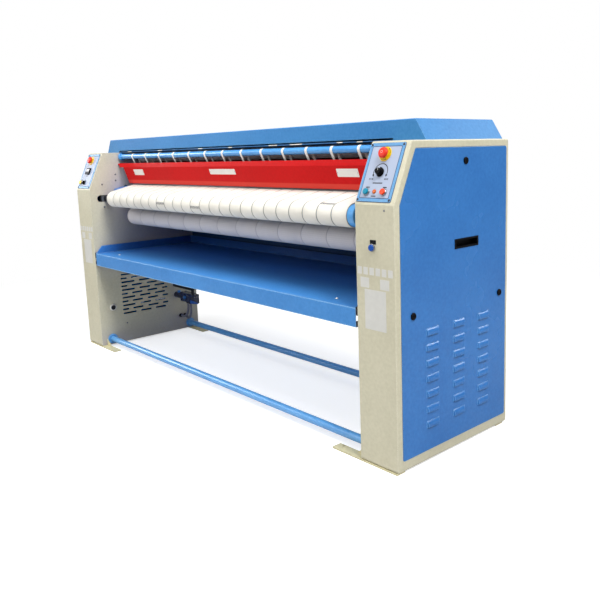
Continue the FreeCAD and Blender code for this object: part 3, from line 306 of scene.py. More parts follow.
def brushed_metal(name, body_hex, roughness):
    """Plated or bare metal with a fine uneven brushing."""
    made, tree, shader = new_finish(name, Base_Color=colour(body_hex), Metallic=1.0)
    where = add(tree, "TexCoord")
    grain = noise(tree, where, 0.006, 4.0)
    gloss = add(tree, "MapRange", {"Value": grain.outputs["Fac"], "To Min": roughness - 0.1,
                                   "To Max": roughness + 0.1})
    feed(tree, gloss.outputs[0], shader, "Roughness")
    dents = add(tree, "Bump", {"Height": grain.outputs["Fac"], "Distance": 0.1 * MM, "Strength": 0.2})
    feed(tree, dents.outputs[0], shader, "Normal")
    return made


HEM_RADIUS, HEM_Y, HEM_Z, HEM_HALF = 2.5 * MM, -149 * MM, 1353.5 * MM, 1284
WORN_PROUD = 0.15 * MM
WORN_RUNS = ((-1166, -1108), (-742, -690), (-260, -215), (52, 90), (420, 490), (592, 686), (935, 975),
             (1066, 1103))
hem_enamel = stove_enamel("blue enamel on steel rod", "#4B8CCB", "#346BA6", 0.35)
worn_steel = brushed_metal("steel worn bright", "#E9E6DD", 0.5)
mesh = bmesh.new()
worn_mesh = bmesh.new()
add_tube(mesh, [Vector((x * MM, HEM_Y, HEM_Z)) for x in (-HEM_HALF, 0, HEM_HALF)], HEM_RADIUS)
for start, end in WORN_RUNS:
    add_tube(worn_mesh, [Vector((x * MM, HEM_Y, HEM_Z)) for x in (start, end)], HEM_RADIUS + WORN_PROUD)
new_piece("hood_hem", mesh, hem_enamel)
new_piece("hood_hem_worn", worn_mesh, worn_steel)


# ---- Screws: pan-head steel screws with a cross recess hold the inner walls, rear panel and tray.
# Zinc-plated, dulled by lint and steam; the linen rubs the tray's bright.
def face_at(origin, right, out):
    """A frame on a surface: its X runs right, its Z points out; origin in millimetres."""
    out, right = Vector(out).normalized(), Vector(right).normalized()
    up = out.cross(right)
    return Matrix.Translation(Vector(origin) * MM) @ Matrix((right, up, out)).transposed().to_4x4()


def add_turned(mesh, place, profile, sides=20, lobes=()):
    """Adds a turned shape on a surface frame; profile is (radius, height) from the rim inwards.

    Rings listed in lobes are pinched to a cross, as a driver's recess is."""
    rings = []
    for index, (radius, height) in enumerate(profile):
        ring = []
        for k in range(sides):
            angle = math.tau * k / sides
            pinch = 0.35 + 0.65 * abs(math.cos(2 * angle)) if index in lobes else 1.0
            ring.append(mesh.verts.new(place @ Vector((radius * pinch * math.cos(angle),
                                                       radius * pinch * math.sin(angle), height))))
        rings.append(ring)
    for here, ahead in zip(rings, rings[1:]):
        for k in range(sides):
            face = mesh.faces.new((here[k], here[(k + 1) % sides], ahead[(k + 1) % sides], ahead[k]))
            face.smooth = True
    mesh.faces.new(rings[-1])


def add_screw(mesh, place, radius):
    """Adds a pan head with a cross recess."""
    add_turned(mesh, place, [
        (radius, 0.0), (radius, radius * 0.25), (radius * 0.86, radius * 0.48),
        (radius * 0.62, radius * 0.58), (radius * 0.5, radius * 0.58), (radius * 0.3, radius * 0.2)],
        lobes=(4, 5))


def add_plate(mesh, place, width, height, thickness, corner, hole=0.0):
    """Adds a flat plate with rounded corners and a small chamfer; hole leaves a frame that wide."""
    def ring(inward, level):
        radius = max(corner - inward, 0.1 * MM)
        half_w, half_h = width / 2 - inward - radius, height / 2 - inward - radius
        loop = []
        for k, (sx, sy) in enumerate(((1, 1), (-1, 1), (-1, -1), (1, -1))):
            for step in range(5):
                angle = math.pi / 2 * (k + step / 4)
                loop.append(mesh.verts.new(place @ Vector((
                    sx * half_w + radius * math.cos(angle), sy * half_h + radius * math.sin(angle), level))))
        return loop
    chamfer = min(thickness * 0.4, 0.6 * MM)
    rings = [ring(0.0, 0.0), ring(0.0, thickness - chamfer), ring(chamfer, thickness)]
    if hole:
        rings += [ring(hole, thickness), ring(hole, 0.0)]
    for here, ahead in zip(rings, rings[1:]):
        for k in range(len(here)):
            nearby = (k + 1) % len(here)
            mesh.faces.new((here[k], here[nearby], ahead[nearby], ahead[k]))
    if not hole:
        mesh.faces.new(rings[-1])


zinc_plate = brushed_metal("zinc-plated steel", "#76787E", 0.4)
WALL_FACE_X, REAR_FACE_Y, REAR_SCREW_PITCH = 1288, 385, 310
WALL_SCREWS = ((-195, 1202), (-197, 1161), (-296, 1137), (-292, 982), (-193, 140), (300, 1210), (300, 760))
mesh = bmesh.new()
for y, z in WALL_SCREWS:
    add_screw(mesh, face_at((-WALL_FACE_X, y, z), (0, 1, 0), (1, 0, 0)), 5.5 * MM)
    add_screw(mesh, face_at((WALL_FACE_X, y, z), (0, 1, 0), (-1, 0, 0)), 5.5 * MM)
add_screw(mesh, face_at((1448, -388, 1081), (1, 0, 0), (0, -1, 0)), 4 * MM)
for k in range(9):
    for z in (668, 1325):
        add_screw(mesh, face_at(((k - 4) * REAR_SCREW_PITCH, REAR_FACE_Y, z), (-1, 0, 0), (0, 1, 0)), 6 * MM)
new_piece("panel_screws", mesh, zinc_plate)

mesh = bmesh.new()
for x in (-1077, 1077):
    add_screw(mesh, face_at((x, -308, 668), (1, 0, 0), (0, 0, 1)), 6.5 * MM)
new_piece("tray_screws", mesh, worn_steel)


# ---- Rubber: black EPDM buffers that keep the tray off the walls, a wall plug in a bright steel
# ring, and the drive belt. Soft and dull, with a bloom that turns it slightly grey.
epdm, tree, shader = new_finish("black EPDM", IOR=1.52, Roughness=0.75, Specular_IOR_Level=0.3)
where = add(tree, "TexCoord")
bloom = noise(tree, where, 0.015, 5.0)
tone = tint(tree, bloom.outputs["Fac"], "#101014", "#26272D")
feed(tree, tone.outputs[2], shader, "Base Color")
dress(epdm, "rubber_buffers", "drive_belt")

mesh = bmesh.new()
add_turned(mesh, face_at((-WALL_FACE_X, -290, 271), (0, 1, 0), (1, 0, 0)), [
    (24 * MM, 0.0), (24 * MM, 5 * MM), (22 * MM, 7.5 * MM), (16 * MM, 8.5 * MM), (14 * MM, 8.0 * MM),
    (13 * MM, 7.0 * MM)], sides=36)
new_piece("wall_plug_ring", mesh, worn_steel)


# ---- Rollers: drawn tube on turned stub shafts. Both feed rollers and the upper tape roller are
# painted blue; the lower tape roller and the ironing rollers are bare, with rings from the lathe.
roller_paint = stove_enamel("roller blue gloss", "#5AA5E4", "#4A92D6", 0.2, shine=0.5)
dress(roller_paint, "feed_roller_rear", "tape_roller_upper")

# the shafts of the front roller are blacked, its tube is blue between these two places
TUBE_LEFT, TUBE_RIGHT = -1.1715, 1.2055
shaft_paint, tree, shader = new_finish("roller blue gloss with blacked shafts", Roughness=0.25)
where = add(tree, "TexCoord")
place = add(tree, "SeparateXYZ", {0: where.outputs["Object"]})
past_left = add(tree, "Math", {0: place.outputs["X"], 1: TUBE_LEFT}, operation="LESS_THAN")
past_right = add(tree, "Math", {0: place.outputs["X"], 1: TUBE_RIGHT}, operation="GREATER_THAN")
shaft = add(tree, "Math", {0: past_left.outputs[0], 1: past_right.outputs[0]}, operation="MAXIMUM")
cloud = noise(tree, where, 0.05, 4.0)
blue = tint(tree, cloud.outputs["Fac"], "#4A92D6", "#68B2EC")
blacked = tint(tree, cloud.outputs["Fac"], "#101116", "#2B2C36")
tone = add(tree, "Mix", {0: shaft.outputs[0], 6: blue.outputs[2], 7: blacked.outputs[2]},
           data_type="RGBA")
feed(tree, tone.outputs[2], shader, "Base Color")
dress(shaft_paint, "feed_roller_front")

turned_steel, tree, shader = new_finish("turned mild steel", Base_Color=colour("#85888F"), Metallic=1.0)
where = add(tree, "TexCoord")
# the tool's feed is 0.2 mm a turn; drawn at 4 mm so that it shows (a wave repeats after 1.97 / Scale / tau)
rings = add(tree, "TexWave", {"Vector": where.outputs["Object"], "Scale": 1 / (2 * MM) / math.tau,
                              "Distortion": 1.5}, bands_direction="X")
gloss = add(tree, "MapRange", {"Value": rings.outputs["Fac"], "To Min": 0.28, "To Max": 0.45})
feed(tree, gloss.outputs[0], shader, "Roughness")
dress(turned_steel, "tape_roller_lower", "ironing_roller_upper_front", "ironing_roller_lower_front",
      "ironing_roller_rear_upper", "ironing_roller_rear_lower")


# ---- Heated cylinder: rolled and welded steel, ground and polished on its face and kept waxed,
# so that linen slides on it. Fine grinding marks run round it.
polished_cylinder, tree, shader = new_finish("ground and waxed steel", Base_Color=colour("#8E9096"),
                                             Metallic=1.0)
where = add(tree, "TexCoord")
stretched = add(tree, "Mapping", {"Vector": where.outputs["Object"], "Scale": (400.0, 6.0, 6.0)})
marks = add(tree, "TexNoise", {"Vector": stretched.outputs[0], "Scale": 1.0, "Detail": 4.0})
gloss = add(tree, "MapRange", {"Value": marks.outputs["Fac"], "To Min": 0.22, "To Max": 0.42})
feed(tree, gloss.outputs[0], shader, "Roughness")
dress(polished_cylinder, "heated_cylinder")


# ---- Feed belts: twenty-four endless bands round the two feed rollers. Woven cotton and
# polyester, three millimetres thick, near white; their edges are painted darker, as painted shade in
# the gaps between the belts.
def band_line(rollers, step=math.radians(6)):
    """Centre line of a closed band: (y, z) and outward normal at each point, from its rollers.

    A roller is (y, z, radius of the band's centre line); a negative radius is outside the band."""
    count = len(rollers)
    headings = []
    for i in range(count):
        (y0, z0, r0), (y1, z1, r1) = rollers[i], rollers[(i + 1) % count]
        turn = math.acos((r0 - r1) / math.hypot(y1 - y0, z1 - z0))
        headings.append(math.atan2(z1 - z0, y1 - y0) - turn)
    line = []
    for i, (y, z, r) in enumerate(rollers):
        sweep = (headings[i] - headings[i - 1]) % math.tau
        if r < 0:
            sweep -= math.tau
        pieces = max(2, math.ceil(abs(sweep) / step))
        for k in range(pieces + 1):
            angle = headings[i - 1] + sweep * k / pieces
            out = (math.cos(angle), math.sin(angle))
            line.append(((y + r * out[0], z + r * out[1]), out))
    return line


def add_band(mesh, line, centre_x, width, thickness):
    """Adds one closed band with rounded edges; UV is metres from its own middle, and along it."""
    half, side = thickness / 2, width / 2
    soft = half * 0.9
    section = [(-side + soft, half), (side - soft, half), (side - soft * 0.3, half * 0.7),
               (side, 0.0), (side - soft * 0.3, -half * 0.7), (side - soft, -half),
               (-side + soft, -half), (-side + soft * 0.3, -half * 0.7), (-side, 0.0),
               (-side + soft * 0.3, half * 0.7)]
    uv = mesh.loops.layers.uv.verify()
    rings, runs, run = [], [], 0.0
    for i, ((y, z), (out_y, out_z)) in enumerate(line):
        if i:
            (before_y, before_z), _ = line[i - 1]
            run += math.hypot(y - before_y, z - before_z)
        runs.append(run)
        rings.append([mesh.verts.new((centre_x + x, y + out_y * h, z + out_z * h)) for x, h in section])
    (first_y, first_z), _ = line[0]
    (last_y, last_z), _ = line[-1]
    runs.append(run + math.hypot(first_y - last_y, first_z - last_z))
    count = len(section)
    for i in range(len(rings)):
        here, ahead = rings[i], rings[(i + 1) % len(rings)]
        for j in range(count):
            k = (j + 1) % count
            face = mesh.faces.new((here[j], here[k], ahead[k], ahead[j]))
            face.smooth = True
            places = ((j, i), (k, i), (k, i + 1), (j, i + 1))
            for loop, (across, along) in zip(face.loops, places):
                loop[uv].uv = (section[across][0], runs[along])


def woven_band(name, thread, half_width, edge, tones, pitch, roughness):
    """Woven belting: warp and weft cross at the thread's spacing; each band has its own tone.

    A wave repeats after 1.97 times thread. Tones are warp, weft and soil; soil clouds the band at
    random, and is also painted over the last millimetres at each edge as painted shade."""
    made, tree, shader = new_finish(name, Roughness=roughness, Sheen_Weight=0.15, Sheen_Roughness=0.6,
                                    Specular_IOR_Level=0.25)
    warp_hex, weft_hex, soil_and_shade_hex = tones
    where = add(tree, "TexCoord")
    turns = 1 / thread / math.tau
    warp = add(tree, "TexWave", {"Vector": where.outputs["UV"], "Scale": turns}, bands_direction="X")
    weft = add(tree, "TexWave", {"Vector": where.outputs["UV"], "Scale": turns}, bands_direction="Y")
    cross = add(tree, "Math", {0: warp.outputs["Fac"], 1: weft.outputs["Fac"]}, operation="MULTIPLY")
    cloth = tint(tree, cross.outputs[0], weft_hex, warp_hex)
    across = add(tree, "SeparateXYZ", {0: where.outputs["UV"]})
    off = add(tree, "Math", {0: across.outputs["X"]}, operation="ABSOLUTE")
    # painted shade: the last millimetres at each edge are darkened towards the soil colour, for the gaps
    # between bands
    edge_shade = add(tree, "MapRange", {"Value": off.outputs[0], "From Min": half_width - edge,
                                      "From Max": half_width})
    clouds = noise(tree, where, 0.12, 5.0)
    dirty = add(tree, "MapRange", {"Value": clouds.outputs["Fac"], "From Min": 0.5, "From Max": 0.8,
                                   "To Max": 0.25})
    place = add(tree, "SeparateXYZ", {0: where.outputs["Object"]})
    step = add(tree, "Math", {0: place.outputs["X"], 1: pitch}, operation="DIVIDE")
    number = add(tree, "Math", {0: step.outputs[0]}, operation="FLOOR")
    own = add(tree, "TexWhiteNoise", {"W": number.outputs[0]}, noise_dimensions="1D")
    older = add(tree, "Math", {0: own.outputs["Value"], 1: 0.1}, operation="MULTIPLY")
    most = add(tree, "Math", {0: dirty.outputs[0], 1: edge_shade.outputs[0]}, operation="MAXIMUM")
    total = add(tree, "Math", {0: most.outputs[0], 1: older.outputs[0]}, operation="ADD",
                use_clamp=True)
    tone = add(tree, "Mix", {0: total.outputs[0], 6: cloth.outputs[2], 7: colour(soil_and_shade_hex)},
               data_type="RGBA")
    feed(tree, tone.outputs[2], shader, "Base Color")
    relief = add(tree, "Bump", {"Height": cross.outputs[0], "Distance": 0.4 * MM, "Strength": 0.5})
    feed(tree, relief.outputs[0], shader, "Normal")
    return made


FEED_BELTS, FEED_PITCH, FEED_WIDTH, FEED_THICKNESS = 24, 97.5 * MM, 95 * MM, 3 * MM
FEED_NOSE = (-0.272, 1.040, 0.0519)
feed_line = band_line([FEED_NOSE, (-0.125, 1.106, 0.0219)])
# threads stand a millimetre apart; drawn at 6 mm so that the weave shows
feed_belting = woven_band("woven cotton belting", 3 * MM, FEED_WIDTH / 2, 3 * MM,
                          ("#EEEBE2", "#E3DFD4", "#8F8B82"), FEED_PITCH, 0.85)
mesh = bmesh.new()
for i in range(FEED_BELTS):
    middle = (i - (FEED_BELTS - 1) / 2) * FEED_PITCH
    add_band(mesh, feed_line, middle, FEED_WIDTH, FEED_THICKNESS)
feed_row = new_piece("feed_belt_row", mesh, feed_belting)
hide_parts("feed_belts")


# ---- Belt lacings: each belt is closed by a row of wire hooks pressed into both ends and a pin
# through them. Three stand in view. Galvanised wire, grey, with fluff caught in it.
LACED = ((7, 180.0), (11, -170.5), (22, 118.0))
HOOK_PITCH, HOOK_LENGTH, HOOK_WIRE = 4.5 * MM, 15 * MM, 0.65 * MM
hook_wire = brushed_metal("galvanised hook wire", "#6D6F74", 0.5)
mesh = bmesh.new()
nose_y, nose_z, nose_radius = FEED_NOSE
for belt, degrees in LACED:
    middle = (belt - (FEED_BELTS - 1) / 2) * FEED_PITCH
    angle = math.radians(degrees)
    out = Vector((0.0, math.cos(angle), math.sin(angle)))
    along = Vector((0.0, -out.z, out.y))
    seat = Vector((middle, nose_y, nose_z)) + out * (nose_radius + FEED_THICKNESS / 2)
    reach = FEED_WIDTH / 2 - 4 * MM
    add_tube(mesh, [seat - Vector((reach, 0, 0)), seat + Vector((reach, 0, 0))], 0.9 * MM, 8)
    hooks = int(2 * reach / HOOK_PITCH)
    for k in range(hooks + 1):
        base = seat + Vector((-reach + 2 * reach * k / hooks, 0, 0))
        skew = Vector((HOOK_PITCH * 0.2, 0, 0))
        add_tube(mesh, [base - skew - along * HOOK_LENGTH / 2, base + skew + along * HOOK_LENGTH / 2],
                 HOOK_WIRE, 6)
new_piece("feed_belt_lacings", mesh, hook_wire)


# ---- Guide tapes: narrow cotton tapes round the two tape rollers, that press the sheet to the
# cylinder. Tightly woven and bright white.
TAPES, TAPE_PITCH, TAPE_WIDTH, TAPE_THICKNESS = 13, 181 * MM, 17 * MM, 1.5 * MM
tape_line = band_line([(-0.0896, 1.2109, 0.01715), (-0.144, 1.322, 0.01815)])
# the tapes' edges also get woven_band's painted shade, in pale grey
tape_cotton = woven_band("tight cotton tape", 2 * MM, TAPE_WIDTH / 2, 1.5 * MM,
                         ("#FAF8F4", "#EFECE6", "#CFCBC4"), TAPE_PITCH, 0.8)
mesh = bmesh.new()
for i in range(TAPES):
    add_band(mesh, tape_line, (i - (TAPES - 1) / 2) * TAPE_PITCH, TAPE_WIDTH, TAPE_THICKNESS)
tape_row = new_piece("guide_tape_row", mesh, tape_cotton)
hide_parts("guide_tapes")


# ---- Ironing belts: thirteen wide bands round four rollers and the far side of the cylinder.
# Needled aramid felt, dull, greyish from heat; its edges are painted darker, as painted shade in the gaps
# between the belts.
IRONING_BELTS, IRONING_PITCH, IRONING_WIDTH, IRONING_THICKNESS = 13, 189 * MM, 188 * MM, 3 * MM
ironing_line = band_line([
    (-0.098, 0.909, 0.0589), (0.250, 0.850, 0.0319), (0.322, 1.315, 0.0319), (-0.012, 1.317, 0.0319),
    (0.090, 1.120, -0.1769)])
ironing_felt = woven_band("needled aramid felt", 5 * MM, IRONING_WIDTH / 2, 4 * MM,
                          ("#DAD5D4", "#D0CBCC", "#B5B0B6"), IRONING_PITCH, 0.95)
mesh = bmesh.new()
for i in range(IRONING_BELTS):
    add_band(mesh, ironing_line, (i - (IRONING_BELTS - 1) / 2) * IRONING_PITCH, IRONING_WIDTH,
             IRONING_THICKNESS)
ironing_row = new_piece("ironing_belt_row", mesh, ironing_felt)
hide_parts("ironing_belts")


# ---- Finger guard: a folded steel plate on two pins, that swings back and stops the machine when
# a hand reaches it. Signal-red satin enamel, with three blank white plates riveted on.
red_satin = stove_enamel("signal-red satin enamel", "#CE181A", "#C11416", 0.5, 1.5 * MM, shine=0.05)
dress(red_satin, "finger_guard")

# its lowest 26 mm are painted paler: a painted reflection of the white belts in the red paint
REFLECTION_FADES_ABOVE, REFLECTION_FULL_BELOW = 1.166, 1.162
tree = red_satin.node_tree
shader = tree.nodes["Principled BSDF"]
painted = shader.inputs["Base Color"].links[0].from_socket
where = add(tree, "TexCoord")
place = add(tree, "SeparateXYZ", {0: where.outputs["Object"]})
wear_and_reflection_share = add(tree, "MapRange", {"Value": place.outputs["Z"], "From Min": REFLECTION_FADES_ABOVE,
                                "From Max": REFLECTION_FULL_BELOW, "To Max": 0.75})
tone = add(tree, "Mix", {0: wear_and_reflection_share.outputs[0], 6: painted, 7: colour("#DB4A3E")}, data_type="RGBA")
feed(tree, tone.outputs[2], shader, "Base Color")


def lacquered(name, body_hex, shade_hex, roughness):
    """Flat lacquer on a thin metal plate, slightly clouded by cleaning."""
    made, tree, shader = new_finish(name, Specular_IOR_Level=0.25)
    where = add(tree, "TexCoord")
    wiped = noise(tree, where, 0.03, 4.0)
    tone = tint(tree, wiped.outputs["Fac"], shade_hex, body_hex)
    feed(tree, tone.outputs[2], shader, "Base Color")
    gloss = add(tree, "MapRange", {"Value": wiped.outputs["Fac"], "To Min": roughness - 0.08,
                                   "To Max": roughness + 0.1})
    feed(tree, gloss.outputs[0], shader, "Roughness")
    return made


plate_white = lacquered("white lacquer on aluminium plate", "#EDEAE6", "#DDD9D4", 0.4)
GUARD_PLATES = ((-1006, 36, 132, 40), (-5, 31, 256, 32), (1012, 35, 142, 40))
mesh = bmesh.new()
guard_rivets = bmesh.new()
fold, down = Vector((0, -171, 1250)), Vector((0, 37, -111)).normalized()
guard_out = Vector((0, down.z, -down.y))
for x, distance, width, height in GUARD_PLATES:
    centre = fold + down * distance + Vector((x, 0, 0)) + guard_out * 0.1
    place = face_at(centre, (1, 0, 0), guard_out)
    add_plate(mesh, place, width * MM, height * MM, 0.8 * MM, 3 * MM)
    for side in (-1, 1):
        rivet = place @ Matrix.Translation((side * (width / 2 - 5) * MM, 0, 0.8 * MM))
        add_turned(guard_rivets, rivet, [(2 * MM, 0.0), (1.6 * MM, 0.8 * MM), (0.7 * MM, 1.2 * MM)], 12)
new_piece("guard_plates", mesh, plate_white, "finger_guard")
new_piece("guard_plate_rivets", guard_rivets, zinc_plate, "finger_guard")


# ---- Bearings, drive and cabinet inside the housings: grey cast iron and zinc-coated sheet.
# Castings are rough from the sand and painted machine grey; the zinc shows its spangle.
cast_grey = stove_enamel("machine-grey paint on castings", "#565A60", "#44474C", 0.55)
dress(cast_grey, "shaft_bearings", "gearmotor", "motor_pulley", "cylinder_pulley")

zinc_sheet, tree, shader = new_finish("hot-dip galvanised sheet", Metallic=1.0, Roughness=0.42)
where = add(tree, "TexCoord")
spangle = add(tree, "TexVoronoi", {"Vector": where.outputs["Object"], "Scale": 1 / 0.012})
tone = tint(tree, spangle.outputs["Color"], "#8E9296", "#B9BDC0")
feed(tree, tone.outputs[2], shader, "Base Color")
dress(zinc_sheet, "exhaust_fan", "control_box")


# ---- Gas line: black-painted steel pipe, a die-cast valve in dark lacquer with its coil, a blue
# cock lever, and nylon glands for the cables.
pipe_black = stove_enamel("black pipe paint", "#26272C", "#1B1C20", 0.4)
valve_lacquer = stove_enamel("dark blue valve lacquer", "#27345C", "#161D38", 0.2, shine=0.6)
lever_blue = moulded_nylon("blue dipped lever", "#1F4F9E", "#3A6DB8", 0.35, 0.8 * MM)
dress(pipe_black, "gas_pipework")
dress(valve_lacquer, "gas_valve")
dress(lever_blue, "gas_cock_lever")
dress(black_nylon, "cable_glands")

# bolts, bonnet nut and the coil's blue cap make the valve's outline uneven
VALVE_TOP, VALVE_END_X = 318, -996
blue_anodised = brushed_metal("blue anodised aluminium", "#3E6FB0", 0.35)
mesh = bmesh.new()
for x in (-1176, -1060):
    for y in (200, 232):
        add_turned(mesh, face_at((x, y, VALVE_TOP), (1, 0, 0), (0, 0, 1)), [
            (5 * MM, 0.0), (5 * MM, 4 * MM), (4 * MM, 5 * MM), (1 * MM, 5 * MM)], 6)
for y in (197, 211, 225):
    add_turned(mesh, face_at((VALVE_END_X, y, 300), (0, 1, 0), (1, 0, 0)), [
        (4 * MM, 0.0), (4 * MM, 3 * MM), (3 * MM, 4 * MM), (1 * MM, 4 * MM)], 6)
new_piece("gas_valve_bolts", mesh, zinc_plate)
mesh = bmesh.new()
add_turned(mesh, face_at((-1250, 216, 303), (1, 0, 0), (0, 0, 1)), [
    (12 * MM, 0.0), (12 * MM, 12 * MM), (10 * MM, 14 * MM), (4 * MM, 14.5 * MM)], 24)
add_turned(mesh, face_at((-1120, 188, 285), (1, 0, 0), (0, -1, 0)), [
    (15 * MM, 0.0), (15 * MM, 6 * MM), (13 * MM, 8 * MM), (7 * MM, 8 * MM), (6 * MM, 4 * MM)], 28)
new_piece("gas_valve_caps", mesh, blue_anodised)


# ---- Control panels: a light blue frame round a pale grey switch plate on each sloping face. Thin
# slate-blue rings round the frame and round the plate are painted shade in the gaps there. The
# frame is enamelled steel, the plate is lacquered aluminium sheet.
# the frame's folds are painted paler blue: a painted highlight
frame_enamel = stove_enamel("light blue panel enamel", "#6A9FCC", "#5D93C2", 0.35, 1.5 * MM, "#A6D2F2")
plate_lacquer = lacquered("pale grey plate lacquer", "#A9B4C9", "#9FABC1", 0.45)
dress(frame_enamel, "panel_frames")
dress(plate_lacquer, "panel_plates")

SLOPE_UP, SLOPE_OUT = Vector((0, 0.4037, 0.9149)), Vector((0, -0.9149, 0.4037))
RIGHT_PANEL_X, LEFT_PANEL_X, PANEL_MIDDLE = 1384.5, -1394.0, 135.5
PANEL_FACE = 3.0


def on_slope(x, up, height=0.0):
    """A frame on the sloping face: x and the distance up the slope, height above it, in mm."""
    origin = Vector((x, -388, 1103)) + SLOPE_UP * up + SLOPE_OUT * height
    return face_at(origin, (1, 0, 0), SLOPE_OUT)


mesh = bmesh.new()
corner_screws = bmesh.new()
for x in (RIGHT_PANEL_X, LEFT_PANEL_X):
    # painted shade: a thin slate-blue ring round the frame and another round the plate's edge
    add_plate(mesh, on_slope(x, PANEL_MIDDLE, 0.05), 188.5 * MM, 252.5 * MM, 1.2 * MM, 7 * MM, 4 * MM)
    add_plate(mesh, on_slope(x, PANEL_MIDDLE, PANEL_FACE), 160 * MM, 222 * MM, 0.4 * MM, 5 * MM, 2.6 * MM)
    for side in (-1, 1):
        for rise in (-116.5, 116.5):
            add_screw(corner_screws, on_slope(x + side * 85.5, PANEL_MIDDLE + rise, PANEL_FACE), 5 * MM)
panel_shadow_paint = lacquered("slate-blue painted shadow line", "#3D5478", "#31466A", 0.6)
new_piece("panel_shadow_lines", mesh, panel_shadow_paint)
black_oxide = brushed_metal("black-oxide steel", "#4A4B52", 0.3)
new_piece("panel_corner_screws", corner_screws, black_oxide)


# ---- Print on the panels: an arc with arrow heads round the speed dial, MIN and MAX, short blank
# legend bars, and three turning arrows on each emergency stop's collar. Screen-printed ink, 0.1 mm
# thick, drawn 0.2 mm thick.
def add_stroke(mesh, place, start, end, width, height=0.2 * MM):
    """Adds one printed stroke between two points of a surface frame."""
    run = (end - start).normalized()
    side = Vector((-run.y, run.x)) * width / 2
    corners = [start - side, end - side, end + side, start + side]
    foot = [mesh.verts.new(place @ Vector((c.x, c.y, 0.0))) for c in corners]
    top = [mesh.verts.new(place @ Vector((c.x, c.y, height))) for c in corners]
    mesh.faces.new(top)
    for k in range(4):
        mesh.faces.new((foot[k], foot[(k + 1) % 4], top[(k + 1) % 4], top[k]))


LETTERS = {
    "M": ((0, 0, 0, 1), (0, 1, .5, .3), (.5, .3, 1, 1), (1, 1, 1, 0)),
    "I": ((.5, 0, .5, 1),),
    "N": ((0, 0, 0, 1), (0, 1, 1, 0), (1, 0, 1, 1)),
    "A": ((0, 0, .5, 1), (.5, 1, 1, 0), (.2, .4, .8, .4)),
    "X": ((0, 0, 1, 1), (0, 1, 1, 0)),
}


def add_word(mesh, place, word, height):
    """Adds a word in plain strokes, centred on the frame."""
    width, pitch = height * 0.62, height * 0.95
    for index, letter in enumerate(word):
        left = (index - (len(word) - 1) / 2) * pitch - width / 2
        for x0, y0, x1, y1 in LETTERS[letter]:
            add_stroke(mesh, place, Vector((left + x0 * width, y0 * height)),
                       Vector((left + x1 * width, y1 * height)), height * 0.2)


printing_ink, tree, shader = new_finish("black screen-printing ink", Roughness=0.6)
where = add(tree, "TexCoord")
worn = noise(tree, where, 0.004, 3.0)
tone = tint(tree, worn.outputs["Fac"], "#04050A", "#191B26")
feed(tree, tone.outputs[2], shader, "Base Color")

DIAL_X, DIAL_UP, ARC_RADIUS = 1384.0, 134.0, 37 * MM
ESTOPS, ESTOP_UP = {"right": 1384, "left": -1404}, 212
# print lies 0.02 mm off the plate's face and off the collar's face
PLATE_PRINT, COLLAR_PRINT = 3.02, 5.52
mesh = bmesh.new()
dial_face = on_slope(DIAL_X, DIAL_UP, PLATE_PRINT)
arc = [Vector((ARC_RADIUS * math.sin(a), ARC_RADIUS * math.cos(a)))
       for a in (math.radians(-112 + 224 * k / 28) for k in range(29))]
for start, end in zip(arc, arc[1:]):
    add_stroke(mesh, dial_face, start, end, 3.4 * MM)
for tip, before in ((arc[0], arc[2]), (arc[-1], arc[-3])):
    heading = (tip - before).normalized()
    side = Vector((-heading.y, heading.x))
    for sign in (-1, 1):
        add_stroke(mesh, dial_face, tip + heading * 3 * MM,
                   tip - heading * 5 * MM + side * sign * 3.8 * MM, 3.2 * MM)
add_word(mesh, on_slope(DIAL_X - 41, DIAL_UP - 32, PLATE_PRINT), "MIN", 7.5 * MM)
add_word(mesh, on_slope(DIAL_X + 41, DIAL_UP - 32, PLATE_PRINT), "MAX", 7.5 * MM)
LEGENDS = ((1384, 89, 52), (1338, 71, 20), (1430, 71, 20), (1380, 34, 26),
           (-1456, 71, 18), (-1402, 71, 18), (-1396, 101, 36))
for x, up, width in LEGENDS:
    add_plate(mesh, on_slope(x, up, PLATE_PRINT), width * MM, 4.4 * MM, 0.2 * MM, 0.8 * MM)
for x in ESTOPS.values():
    collar = on_slope(x, ESTOP_UP, COLLAR_PRINT)
    for k in range(3):
        middle = math.radians(30 + 120 * k)
        bend = [Vector((26.5 * MM * math.cos(middle + t), 26.5 * MM * math.sin(middle + t)))
                for t in (math.radians(d) for d in (-28, -14, 0, 14, 28))]
        for start, end in zip(bend, bend[1:]):
            add_stroke(mesh, collar, start, end, 1.6 * MM)
        barb = (bend[-1] - bend[-2]).normalized()
        for sign in (-1, 1):
            add_stroke(mesh, collar, bend[-1] + barb * 1.5 * MM,
                       bend[-1] - barb * 3 * MM + Vector((-barb.y, barb.x)) * sign * 2.6 * MM, 1.4 * MM)
new_piece("panel_print", mesh, printing_ink)


# ---- Switches and lamp: mushroom heads, push buttons and their collars in polished ABS, chromed
# bezels; the selector's bezel and the knobs are black.
def gloss_plastic(name, body_hex, shade_hex, roughness, glow=0.0):
    """Polished moulded plastic, with a little light carried under its surface."""
    made, tree, shader = new_finish(name, IOR=1.49, Specular_IOR_Level=0.3, Subsurface_Weight=glow,
                                    Subsurface_Scale=2 * MM)
    where = add(tree, "TexCoord")
    handled = noise(tree, where, 0.008, 3.0)
    tone = tint(tree, handled.outputs["Fac"], shade_hex, body_hex)
    feed(tree, tone.outputs[2], shader, "Base Color")
    gloss = add(tree, "MapRange", {"Value": handled.outputs["Fac"], "To Min": roughness,
                                   "To Max": roughness + 0.15})
    feed(tree, gloss.outputs[0], shader, "Roughness")
    return made


